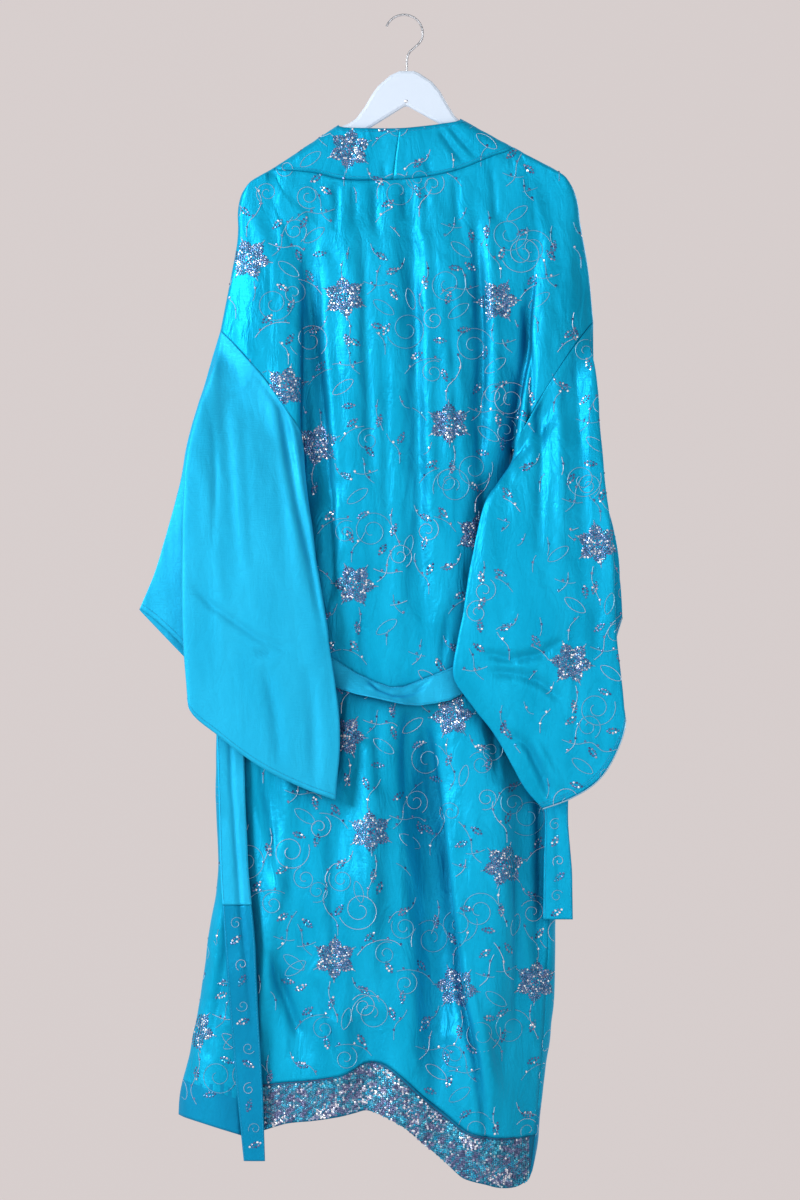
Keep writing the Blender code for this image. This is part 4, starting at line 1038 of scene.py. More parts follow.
class Trimming:
    """Small parts of one material, gathered into one joined mesh."""

    def __init__(self, name: str, material: bpy.types.Material, seed: int) -> None:
        """Start a mesh.

        Args:
            name: The piece's name.
            material: Its finish.
            seed: Seed of the small differences between parts.
        """
        self.name = name
        self.material = material
        self.points: list[Vector] = []
        self.faces: list[tuple[int, ...]] = []
        self.chance = random.Random(seed)

    def disc(self, canvas: Canvas, x: float, z: float, size: float, lift: float = 0.5) -> None:
        """A sequin: a low six-sided closed disc, slightly tilted.

        Args:
            canvas: The ground.
            x: Place across.
            z: Place in height.
            size: Diameter.
            lift: How far its middle stands off the cloth.
        """
        hit = canvas.spot(x, z)
        if hit is None:
            return
        place, normal = hit
        tilt = Vector((self.chance.uniform(-1, 1), 0, self.chance.uniform(-1, 1))) * 0.22
        normal = (normal + tilt).normalized()
        side = normal.cross(Vector((0.31, 0.2, 0.93))).normalized()
        other = normal.cross(side)
        first = len(self.points)
        turn = self.chance.uniform(0, math.pi)
        for spot in range(6):
            angle = turn + spot * math.pi / 3
            rim = (side * math.cos(angle) + other * math.sin(angle)) * size / 2
            self.points.append(place + normal * lift + rim)
        self.points.append(place + normal * (lift + 0.35))
        self.points.append(place + normal * (lift - 0.25))
        for spot in range(6):
            after = (spot + 1) % 6
            self.faces.append((first + spot, first + after, first + 6))
            self.faces.append((first + after, first + spot, first + 7))

    def cord(self, canvas: Canvas, line: Sequence[Row], size: float, leap: float = 9.0) -> None:
        """A thread laid along a line of (x, z) points, broken where the ground falls away.

        Args:
            canvas: The ground.
            line: The line.
            size: Diameter of the thread.
            leap: Longest step that the thread bridges.
        """
        run: list[tuple[Vector, Vector]] = []
        for x, z in line:
            hit = canvas.spot(x, z)
            if hit is None or (run and (hit[0] - run[-1][0]).length > leap):
                self.tube(run, size)
                run = []
            if hit is not None:
                run.append(hit)
        self.tube(run, size)

    def tube(self, run: Sequence[tuple[Vector, Vector]], size: float) -> None:
        """A three-sided tube through places on the ground."""
        if len(run) < 2:
            return
        first = len(self.points)
        for number, (place, normal) in enumerate(run):
            ahead = run[min(number + 1, len(run) - 1)][0] - run[max(number - 1, 0)][0]
            side = ahead.cross(normal).normalized() * size / 2
            self.points.append(place + side + normal * 0.1)
            self.points.append(place + normal * (0.1 + size * 0.75))
            self.points.append(place - side + normal * 0.1)
        for number in range(len(run) - 1):
            base = first + 3 * number
            for spot in range(3):
                after = (spot + 1) % 3
                self.faces.append((base + spot, base + after, base + 3 + after, base + 3 + spot))
        self.faces.append((first + 2, first + 1, first))
        last = first + 3 * (len(run) - 1)
        self.faces.append((last, last + 1, last + 2))

    def finish(self) -> Optional[bpy.types.Object]:
        """Join the parts into an object, or nothing when there are none."""
        if not self.faces:
            return None
        return place_mesh(self.name, [tuple(point * MM) for point in self.points], self.faces, self.material)


# The repeat of the embroidery, charted in millimetres round the centre of one star flower.
# Leaves: x, z, turn in degrees.
LEAVES: Table = ((48, 30, 40), (74, -12, 110), (40, -44, -30), (-4, -60, 80), (-46, -40, 20), (-68, 4, 70),
                 (-38, 48, 140), (6, 66, 60), (80, 50, 10), (-80, -62, 130), (64, -78, 50), (-22, -88, 160),
                 (-72, 78, 30), (34, 96, 100), (96, -44, 75), (-96, 34, 5))
# Curls: x, z, radius, turns, first angle in degrees, hand.
SPIRALS: Table = ((34, 66, 29, 1.7, 200, 1), (-62, 40, 18, 1.6, 300, -1), (70, 6, 17, 1.5, 60, 1),
                  (-34, -62, 27, 1.7, 20, 1), (40, -66, 18, 1.6, 150, -1), (-88, -26, 16, 1.5, 80, 1),
                  (90, -64, 17, 1.5, 110, -1), (-24, 92, 16, 1.6, 250, 1))
# Vines: rows of (x, z) from end to end.
VINES: tuple[Table, ...] = (
    ((-98, 62), (-82, 70), (-60, 58), (-46, 36), (-42, 14), (-31, 4)),
    ((31, 4), (44, 18), (58, 24), (84, 22), (98, 8), (104, -16)),
    ((4, 31), (2, 50), (-10, 64), (-16, 80), (-8, 100)),
    ((-6, -31), (-8, -48), (-2, -66), (4, -84), (-4, -102)),
    ((24, -26), (30, -40), (52, -46), (62, -62), (58, -86), (70, -100)),
    ((-26, 22), (-46, 16), (-66, 18), (-84, 6), (-104, 10)))
# Open leaf outlines: x, z, length, turn in degrees.
OPEN_LEAVES: Table = ((-54, -14, 34, 35), (16, -82, 30, 75))
# Centres of the repeat on the back: x, z, and 1 where a star stands there.
BACK_STARS: Table = (
    (-75, -185, 1), (-82, -390, 1), (129, -395, 1), (25, -310, 0), (-163, -514, 1), (-213, -337, 1),
    (-119, -593, 1), (62, -564, 1), (-30, -500, 0), (102, -717, 1), (-10, -650, 0), (-68, -786, 1),
    (-150, -720, 0), (229, -893, 1), (66, -966, 1), (-82, -994, 1), (30, -830, 0), (-46, -1125, 1),
    (137, -1171, 1), (-190, -1090, 0), (-95, -1298, 1), (72, -1339, 1), (181, -1332, 1), (40, -1190, 0),
    (-180, -1400, 0), (-10, -1440, 0), (130, -1470, 0), (210, -580, 0), (265, -730, 1), (180, -800, 0),
    (140, -920, 0), (190, -1020, 0), (210, -260, 0), (-240, -980, 0), (180, -470, 0), (190, -690, 0),
    (-250, -1230, 0), (-290, -1400, 1), (-70, -290, 0), (110, -240, 0), (-150, -900, 0), (-20, -900, 0),
    (-236, -450, 0), (60, -160, 0), (240, -380, 0), (-205, -1290, 0))


# Curls on the belt's figured ends, a leaf under each: x, z, turn.
BELT_MOTIFS: dict[str, Table] = {
    "belt_end_left": ((-230, -1250, 40), (-222, -1306, -120), (-221, -1362, 200), (-213, -1420, -30),
                      (-212, -1476, 75), (-204, -1530, -160)),
    "belt_tail_right": ((208, -1116, 60), (213, -1166, -140), (210, -1214, 30))}


@dataclass(frozen=True)
class Star:
    """A six-petalled flower filled with sequins, with a thread round it."""

    petals: int = 6
    reach: float = 29.0
    half_width: float = 9.0
    pitch: float = 3.0

    def sew(self, canvas: Canvas, x: float, z: float, sequins: Trimming, threads: Trimming,
            turn: float) -> None:
        """Lay the flower at a place.

        Args:
            canvas: The ground.
            x: Centre across.
            z: Centre in height.
            sequins: Where its sequins go.
            threads: Where its threads go.
            turn: How far the first petal is turned, in radians.
        """
        sequins.disc(canvas, x, z, 5.0, 0.9)
        for petal in range(self.petals):
            angle = turn + petal * 2 * math.pi / self.petals
            for step in range(1, 10):
                reach = 1.0 + step * self.pitch
                wide = self.half_width * math.sin(math.pi * min(1.0, reach / self.reach) ** 1.3)
                count = max(1, round(2 * wide / self.pitch))
                for place in range(count):
                    side = (place - (count - 1) / 2) * self.pitch
                    sequins.disc(canvas, *aside(x, z, reach, side, angle), 3.0)
            tip = (20, 23, 26, 29, self.reach + 4)
            threads.cord(canvas, [aside(x, z, reach, 0, angle) for reach in tip], 1.0)


class Embroidery:
    """The repeat laid over a ground round each star, each place taking the nearest star's part."""

    def __init__(self, stars: Table, seed: int) -> None:
        """Hold the stars' centres.

        Args:
            stars: Rows of (x, z, whether a star stands there).
            seed: Seed of the small turns.
        """
        self.stars = stars
        self.seed = seed
        self.star = Star()

    def nearest(self, x: float, z: float) -> Row:
        """The star centre nearest to a place."""
        return min(self.stars, key=lambda star: (star[0] - x) ** 2 + (star[1] - z) ** 2)

    def sew(self, canvas: Canvas, sequins: Trimming, threads: Trimming,
            keep: Callable[[float, float], bool]) -> None:
        """Lay stars, leaves, spirals and vines.

        Args:
            canvas: The ground.
            sequins: Where sequins go.
            threads: Where threads go.
            keep: Which places take embroidery.
        """
        for number, centre in enumerate(self.stars):
            chance = random.Random(self.seed + number)
            mirror = -1 if number % 2 else 1
            if centre[2] and keep(centre[0], centre[1]):
                self.star.sew(canvas, centre[0], centre[1], sequins, threads, chance.uniform(0, 1))

            def mine(x: float, z: float) -> bool:
                """Whether a place is this star's and takes embroidery."""
                return self.nearest(x, z) == centre and keep(x, z)

            def own(chart: Table) -> Iterable[Row]:
                """A chart's rows laid round this star, as far as their places are its own."""
                for dx, dz, *rest in chart:
                    x, z = centre[0] + mirror * dx, centre[1] + dz
                    if mine(x, z):
                        yield (x, z, *rest)

            for x, z, turn in own(LEAVES):
                self.leaf(canvas, x, z, math.radians(mirror * turn) + chance.uniform(-0.3, 0.3), sequins)
            for x, z, radius, turns, first, hand in own(SPIRALS):
                threads.cord(canvas, self.spiral(x, z, radius, turns, first, hand * mirror), 0.75)
            for x, z, length, turn in own(OPEN_LEAVES):
                threads.cord(canvas, self.open_leaf(x, z, length, math.radians(mirror * turn)), 0.7)
            for vine in VINES:
                line = self.smooth([(centre[0] + mirror * dx, centre[1] + dz) for dx, dz in vine])
                line = [spot for spot in line if mine(*spot)]
                threads.cord(canvas, line, 0.75)
                for spot in line[4::7]:
                    sequins.disc(canvas, spot[0], spot[1] + 2.2, 3.4)

    @staticmethod
    def smooth(line: Sequence[Row]) -> list[Row]:
        """A smooth line through points, a point every 3 mm or so."""
        points = np.array([[(x, 0, z)] for x, z in line], float)
        return [(row[0][0], row[0][2]) for row in refine(points, parts_for(points, 3.0))]

    @staticmethod
    def spiral(x: float, z: float, radius: float, turns: float, first: float, hand: int) -> list[Row]:
        """The points of a spiral that winds in from its radius."""
        count = int(turns * (12 + radius / 2))
        line = []
        for step in range(count + 1):
            share = step / count
            angle = math.radians(first) + hand * share * turns * 2 * math.pi
            reach = mix(radius, 0.2 * radius, share)
            line.append((x + reach * math.cos(angle), z + reach * math.sin(angle)))
        return line

    @staticmethod
    def open_leaf(x: float, z: float, length: float, turn: float) -> list[Row]:
        """The outline of a pointed leaf with its midrib."""
        line = []
        for step in range(17):
            angle = step / 16 * 2 * math.pi
            far, wide = length / 2 * math.cos(angle), length / 5 * math.sin(angle) * abs(math.sin(angle)) ** 0.3
            line.append(aside(x, z, far, wide, turn))
        return line + [aside(x, z, -length / 4, 0, turn)]

    @staticmethod
    def leaf(canvas: Canvas, x: float, z: float, turn: float, sequins: Trimming) -> None:
        """A small leaf of sequins in two rows that meet in a point."""
        for step, wide in ((-8, 0), (-4.6, -2.3), (-4.6, 2.3), (-0.6, -2.9), (-0.6, 2.9), (3.4, -1.9),
                           (3.4, 1.9), (7.4, 0)):
            sequins.disc(canvas, *aside(x, z, step, wide, turn), 3.3)


@dataclass(frozen=True)
class SequinBorder:
    """The band of close-set sequins on the hem, with scrolls, scallops and a stitched top edge."""

    pitch: float = 3.0
    size: float = 3.4
    # Sizes of the patches of colour and of painted glints, scrolls per millimetre, and the scallops' radii and
    # spacing.
    tone_patch: float = 5.0
    glint_patch: float = 16.0
    scrolls: float = 0.42
    scallops: tuple[int, ...] = (12, 20, 28, 36)
    scallop_pitch: float = 92.0

    @staticmethod
    def patch(x: float, z: float, wide: float) -> float:
        """Which patch of colour a place falls in, from -1 to 1, for patches about so wide."""
        return (math.sin(x / wide + 1.8 * math.sin(z / (1.2 * wide)))
                * math.sin(z / (0.9 * wide) + 1.8 * math.sin(x / (1.5 * wide))))

    def sew(self, canvas: Canvas, low_x: float, high_x: float, band: Callable[[float], tuple[float, float]],
            parts: Sequence[Trimming]) -> None:
        """Cover a band.

        Args:
            canvas: The ground.
            low_x: Where the band starts.
            high_x: Where it ends.
            band: The heights of its top line and its hem at an x.
            parts: Where lilac, teal and aqua sequins, the pale sequins of painted glints, and threads go.
        """
        lilac, teal, aqua, glint, threads = parts
        chance = random.Random(11)
        column = 0
        x = low_x + 2
        while x < high_x - 1:
            top, hem = band(x)
            z = top - 3.2 - (self.pitch / 2 if column % 2 else 0)
            while z > hem + 1.6:
                value = self.patch(x, z - 0.4 * x, self.tone_patch) + chance.uniform(-0.3, 0.3)
                trimming = lilac if value > 0.3 else aqua if value < -0.5 else teal
                # Painted highlight: in glint patches some sequins take the pale glint finish.
                if self.patch(x, z - top, self.glint_patch) > 0.35 and chance.random() < 0.4:
                    trimming = glint
                trimming.disc(canvas, x + chance.uniform(-0.4, 0.4), z + chance.uniform(-0.4, 0.4), self.size)
                z -= self.pitch
            x += self.pitch * 0.87
            column += 1
        for shift in (0.4, 2.4):
            line = [(spot, band(spot)[0] - shift) for spot in np.arange(low_x, high_x, 3.0).tolist()]
            threads.cord(canvas, line, 0.8)
        for _ in range(int((high_x - low_x) * self.scrolls)):
            x = chance.uniform(low_x + 6, high_x - 6)
            z = chance.uniform(band(x)[1] + 8, band(x)[0] - 8)
            curl = Embroidery.spiral(x, z, chance.uniform(6, 12), 1.3, chance.uniform(0, 360),
                                     chance.choice((-1, 1)))
            threads.cord(canvas, [spot for spot in curl if low_x < spot[0] < high_x
                                  and band(spot[0])[1] + 1 < spot[1] < band(spot[0])[0] - 4], 1.1)
        centre = low_x + 34
        while centre < high_x - 10:
            for radius in self.scallops:
                line = []
                for step in range(radius):
                    angle = math.pi * step / (radius - 1)
                    spot = centre + radius * math.cos(angle)
                    line.append((spot, band(centre)[1] + 4 + radius * math.sin(angle)))
                threads.cord(canvas, [spot for spot in line if low_x < spot[0] < high_x], 1.5)
            centre += self.scallop_pitch


def crease_table(*rows: tuple[Table, float, float]) -> tuple[Crease, ...]:
    """Creases from rows of a line of (x, z) points, a width and a depth (+ is a trough, - a ridge)."""
    return tuple(Crease(*row) for row in rows)


# Creases of the back, listed one by one.
BACK_CREASES = crease_table(
    (((-137, -337), (-120, -480), (-102, -669), (-98, -800)), 7, 4.5),
    (((-116, -300), (-104, -480), (-88, -640)), 8, -3.0),
    (((10, -238), (14, -420), (20, -640), (24, -862)), 6, 1.8),
    (((28, -260), (34, -480), (40, -760)), 8, -3.0),
    (((98, -280), (106, -440), (105, -627)), 6, 5.0),
    (((118, -300), (126, -450), (124, -600)), 7, -2.6),
    (((167, -400), (174, -500), (174, -600)), 6, 3.5),
    (((105, -641), (119, -752), (126, -830)), 6, 4.0),
    (((-56, -300), (-52, -470), (-44, -640)), 7, 2.6),
    (((-30, -420), (-24, -600), (-20, -800)), 8, 2.2),
    (((62, -360), (70, -520), (74, -700)), 7, 2.4),
    (((-160, -640), (-150, -760), (-140, -850)), 8, 3.0),
    (((26, -985), (40, -1110), (54, -1222), (66, -1323), (98, -1437), (116, -1560)), 7, 9.0),
    (((42, -990), (58, -1120), (74, -1240), (92, -1350), (128, -1490)), 10, -6.0),
    (((-196, -1032), (-184, -1110), (-171, -1190)), 6, 4.5),
    (((-181, -1290), (-164, -1345), (-145, -1402)), 6, 4.5),
    (((-120, -1330), (-104, -1385), (-84, -1442)), 6, 4.0),
    (((-150, -960), (-162, -1120), (-190, -1300), (-206, -1460)), 10, -3.5),
    (((150, -1150), (154, -1280), (150, -1400)), 6, 3.0),
    # Broad swells of the skirt and over the belt.
    (((16, -960), (32, -1060), (44, -1200), (58, -1400)), 24, 11.0),
    (((104, -960), (124, -1080), (132, -1220), (138, -1400)), 22, -10.0),
    (((172, -960), (190, -1080), (194, -1200), (190, -1330)), 15, 9.0),
    (((-92, -1080), (-96, -1220), (-92, -1380)), 14, 5.5),
    (((-48, -1000), (-48, -1220), (-40, -1380)), 18, -9.0),
    (((98, -690), (100, -780), (100, -870)), 13, -4.0),
    (((142, -720), (140, -800), (138, -880)), 12, 4.0),
    # Short gathers under the collar seam.
    (((-95, -229), (-93, -262), (-96, -296)), 5, 2.6),
    (((-70, -232), (-68, -258), (-70, -290)), 5, 2.2),
    (((-40, -232), (-41, -262), (-38, -300)), 5, 2.6),
    (((1, -232), (0, -256), (2, -282)), 4, 2.4),
    (((29, -230), (31, -262), (30, -300)), 5, 2.4),
    (((70, -222), (72, -250), (76, -292)), 5, 2.4),
    (((119, -206), (124, -240), (126, -284)), 5, 2.6),
    # Pulls over and under the belt.
    (((-200, -800), (-196, -835), (-188, -850)), 6, 2.4),
    (((-120, -800), (-116, -850), (-112, -884)), 6, 3.0),
    (((-60, -830), (-56, -880), (-52, -912)), 5, 3.0),
    (((60, -820), (56, -860), (50, -900)), 5, 3.0),
    (((-86, -935), (-92, -985), (-96, -1050)), 6, 3.4),
    (((-40, -950), (-38, -1000), (-34, -1070)), 6, 3.4),
    (((8, -960), (4, -1010), (4, -1090)), 6, 3.0),
    (((118, -935), (120, -990), (124, -1060)), 6, 3.4),
    (((140, -915), (144, -970), (150, -1040)), 6, 3.0))
# Creases of the fronts, similar to the back's, and plainer because they are hidden.
FRONT_CREASES = crease_table(
    (((-150, -300), (-140, -480), (-128, -700)), 8, 4.0),
    (((-118, -360), (-108, -560), (-112, -790)), 8, -2.6),
    (((-170, -860), (-180, -1080), (-200, -1330)), 8, 4.0),
    (((-130, -880), (-132, -1100), (-146, -1400)), 9, -3.0),
    (((-214, -930), (-228, -1150), (-252, -1380)), 8, 3.4),
    (((-236, -1180), (-250, -1300), (-268, -1440)), 6, 3.6),
    (((150, -300), (142, -480), (134, -700)), 8, 4.0),
    (((116, -380), (108, -560), (112, -800)), 8, -2.6),
    (((160, -880), (158, -1100), (150, -1400)), 8, 4.0),
    (((120, -880), (116, -1120), (112, -1420)), 9, -3.0))
LEFT_SLEEVE_CREASES = crease_table(
    (((-192, -486), (-172, -520), (-157, -543), (-138, -669), (-121, -756), (-104, -860)), 4, -2.6),
    (((-262, -560), (-258, -640), (-262, -740)), 4, 1.6),
    (((-252, -470), (-246, -560), (-236, -680), (-226, -780)), 9, 1.6),
    (((-202, -489), (-184, -518), (-170, -543), (-149, -669), (-128, -756), (-114, -832)), 6, 2.8),
    (((-186, -500), (-168, -600), (-152, -700), (-140, -800)), 9, -2.0),
    (((-289, -786), (-264, -814), (-199, -860), (-157, -877)), 5, 2.0),
    (((-206, -880), (-178, -880)), 4, 2.2),
    (((-280, -600), (-262, -700), (-250, -800), (-248, -900)), 10, -1.4),
    (((-220, -560), (-214, -660), (-206, -760)), 8, 1.2),
    (((-190, -900), (-176, -960), (-170, -1030)), 8, 2.4),
    (((-130, -900), (-124, -980), (-122, -1060)), 8, 2.4))
RIGHT_SLEEVE_CREASES = crease_table(
    (((185, -520), (188, -620), (184, -740)), 8, 4.5),
    (((210, -470), (216, -600), (214, -760)), 9, -2.8),
    (((236, -480), (244, -620), (248, -780)), 8, 3.0),
    (((216, -862), (190, -880), (150, -888), (110, -880)), 6, 3.4),
    (((214, -944), (188, -920), (158, -908), (120, -905)), 6, 3.2),
    (((150, -990), (172, -1010), (190, -1050), (200, -1080)), 6, 3.4),
    (((178, -1000), (196, -1030), (214, -1066)), 6, -2.4),
    (((230, -840), (238, -920), (236, -1000)), 8, 2.6),
    (((268, -700), (266, -800), (262, -900)), 8, 2.4))
COLLAR_CREASES = crease_table(
    (((50, -158), (64, -180), (84, -204)), 5, 2.6),
    (((62, -152), (78, -172), (100, -196)), 5, 2.2),
    (((-60, -160), (-70, -190), (-84, -218)), 5, 1.8),
    (((-30, -200), (-28, -214), (-26, -226)), 4, 1.6),
    (((30, -196), (34, -210), (36, -222)), 4, 1.6))
BELT_CREASES = crease_table(
    (((-60, -900), (-36, -930), (-14, -938), (14, -934), (34, -918)), 3.5, 2.6),
    (((-52, -925), (-26, -936), (0, -944)), 3, -1.6),
    (((-226, -838), (-150, -872), (-100, -900)), 4, 0.8),
    (((60, -915), (110, -900), (170, -868)), 4, 0.8))
TAIL_CREASES = crease_table(
    (((-239, -1000), (-237, -1060), (-225, -1222), (-206, -1400)), 4, 2.2),
    (((204, -1000), (210, -1120), (214, -1230)), 4, 1.6))


class Robe:
    """The robe's pieces of cloth, from the common rows of points."""

    def __init__(self, finishes: Finishes) -> None:
        """Work out the back's common rows.

        Args:
            finishes: All finishes.
        """
        self.finishes = finishes
        self.form = Form()
        self.lines = self.form.lines
        self.step = 5.0
        self.middle = self.form.middle()
        self.row_parts = parts_for(self.middle, self.step)
        self.upper = len(self.lines.upper_rows) - 1
        self.shells: dict[str, Shell] = {}

    def build(self) -> dict[str, bpy.types.Object]:
        """Build every piece of the robe."""
        made = {}
        made.update(self.back())
        for side in Side:
            made.update(self.front(side))
            made.update(self.sleeve(LEFT_SLEEVE if side is Side.LEFT else RIGHT_SLEEVE))
        return made

    def hang(self, slot: str, item: bpy.types.Object, node: str) -> None:
        """Let a piece ride on the body and stand for its solid.

        Args:
            slot: The piece's material slot.
            item: The piece.
            node: The solid's node.
        """
        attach(item, BODY)
        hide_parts(node)
        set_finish(item, slot)

    def back(self) -> dict[str, bpy.types.Object]:
        """The back with its drop shoulders, and the hem border."""
        fine = refine(self.middle, self.row_parts)
        split = sum(self.row_parts[:self.upper])
        drops = [refine(self.form.drop_rows(side, False), self.row_parts[:self.upper]) for side in (0, 1)]
        top = np.concatenate([drops[0][:, :0:-1], fine[:split + 1], drops[1][:, 1:]], axis=1)
        parts = parts_for(top.swapaxes(0, 1), self.step)
        ends = len(self.lines.drop) - 1
        top = across(top, parts)
        low = across(fine[split:], parts[ends:-ends])
        first = sum(parts[:ends])
        low[0] = top[-1, first:first + low.shape[1]]
        upper = Shell("back_panel", top)
        lower = Shell("back_panel", low)
        grain = Grain(3.1)
        upper.press(BACK_CREASES, grain)
        lower.press(BACK_CREASES, grain, held=SIDES_HELD)
        lower.grid[0] = upper.grid[-1, first:first + low.shape[1]]
        cut = sum(self.row_parts[self.upper:self.upper + self.lines.lower_rows])
        border = Shell("back_hem_border", lower.grid[cut:])
        lower.grid = lower.grid[:cut + 1]
        self.shells.update(back_top=upper, back_low=lower, border=border)
        return {"back_panel": Cloth("robe_back", self.finishes.satin).weave([upper, lower]),
                "back_hem_border": Cloth("robe_back_border", self.finishes.border_cloth).weave([border])}

    def front(self, side: Side) -> dict[str, bpy.types.Object]:
        """One front and its half of the collar band."""
        rows, turned = self.form.front(side.value)
        band = self.form.collar(side.value, rows[1:, 0])
        fine = refine(rows, self.row_parts)
        split = sum(self.row_parts[:self.upper])
        drop = refine(self.form.drop_rows(side.value, True), self.row_parts[:self.upper])
        top = np.concatenate([fine[:split + 1], drop[:, 1:]], axis=1)
        parts = parts_for(top.swapaxes(0, 1), self.step)
        top = across(top, parts)
        low = np.concatenate([fine[split:], refine(turned, self.row_parts[self.upper:])], axis=1)
        low_parts = parts[:self.lines.front_columns] + parts_for(low.swapaxes(0, 1), self.step)[-2:]
        low = across(low, low_parts)
        count = sum(parts[:self.lines.front_columns]) + 1
        low[0, :count] = top[-1, :count]
        flip = side is Side.RIGHT
        upper = Shell("front_" + side.word, top, flip)
        lower = Shell("front_" + side.word, low, flip)
        grain = Grain(7.3 + side.value)
        upper.press(FRONT_CREASES, grain)
        lower.press(FRONT_CREASES, grain, held=SIDES_HELD)
        lower.grid[0, :count] = upper.grid[-1, :count]
        band_parts = parts_for(band, self.step)
        collar = Shell("collar_" + side.word, across(refine(band, band_parts), [5, 5, 5]), side is Side.LEFT)
        collar.press(COLLAR_CREASES, Grain(12.9 + side.value, 1.2, 0.4))
        self.shells.update({"front_top_" + side.word: upper, "front_low_" + side.word: lower,
                            "collar_" + side.word: collar})
        satin = self.finishes.satin
        panel = Cloth("robe_front_" + side.word, satin).weave([upper, lower])
        self.shade_hem(panel, lower)
        return {"front_" + side.word: panel,
                "collar_" + side.word: Cloth("robe_collar_" + side.word, satin, 1.6).weave([collar])}

    def shade_hem(self, panel: bpy.types.Object, shell: Shell, height: float = 50.0) -> None:
        """Paint shade on a front's turned-up hem: its lowest band takes the deeper satin.

        Args:
            panel: The front.
            shell: Its lower block.
            height: Height of the hem.
        """
        line = shell.grid[-1]
        order = np.argsort(line[:, 0])
        panel.data.materials.append(self.finishes.hem_cloth)
        for face in panel.data.polygons:
            x, _, z = (value / MM for value in face.center)
            if z < np.interp(x, line[order, 0], line[order, 2]) + height:
                face.material_index = 1

    def sleeve(self, lines: SleeveLines) -> dict[str, bpy.types.Object]:
        """One sleeve, a flat tube."""
        rings = self.form.sleeve(lines)
        fine = refine(rings, parts_for(rings, self.step))
        fine = across(fine, parts_for(fine.swapaxes(0, 1), self.step), closed=True)
        left = lines.side is Side.LEFT
        shell = Shell("sleeve_" + lines.side.word, fine, not left, closed=True)
        shell.press(LEFT_SLEEVE_CREASES if left else RIGHT_SLEEVE_CREASES,
                    Grain(17.7 + lines.side.value, 0.9 if left else 2.2, 0.3), held=(True, False, False, False))
        self.shells[shell.name] = shell
        cloth = Cloth("robe_" + shell.name, self.finishes.plain if left else self.finishes.satin)
        return {shell.name: cloth.weave([shell])}


@dataclass(frozen=True)
class StripLine:
    """The rows of a belt part, from the tables that the solids share."""

    belt: Table = (
        (-252, -816, -858, 0), (-222, -828, -870, 0), (-180, -848, -890, 0), (-140, -868, -908, 2),
        (-98, -887, -926, 3), (-66, -907, -936, 7), (-41, -919, -941, 10), (-18, -927, -946, 11),
        (0, -926, -950, 10), (20, -918, -952, 6), (43, -909, -949, 3), (62, -901, -945, 2),
        (91, -888, -931, 0), (130, -870, -912, 0), (170, -850, -892, 0), (203, -836, -878, 0))
    tail_left: Table = (
        (-256, -219, -806, 6.2), (-257, -219, -870, 6.2), (-258, -220, -984, 6.5), (-255, -218, -1080, 8),
        (-252, -213, -1180, 9), (-246, -204, -1270, 10), (-238, -199, -1378, 11), (-229, -193, -1480, 12),
        (-219, -190, -1574, 13))
    tail_right: Table = (
        (189, 226, -828, 6.2), (190, 227, -890, 6.2), (191, 227, -1000, 6.5), (194, 226, -1117, 8),
        (192, 231, -1180, 9), (191, 232, -1246, 10))
    split_left: float = -1222.0
    clearance: float = 2.4
    thickness: float = 2.2
    loops: tuple[Row, ...] = ((0, -208.0), (1, 180.0))
    loop_width: float = 8.0
    loop_thickness: float = 1.4


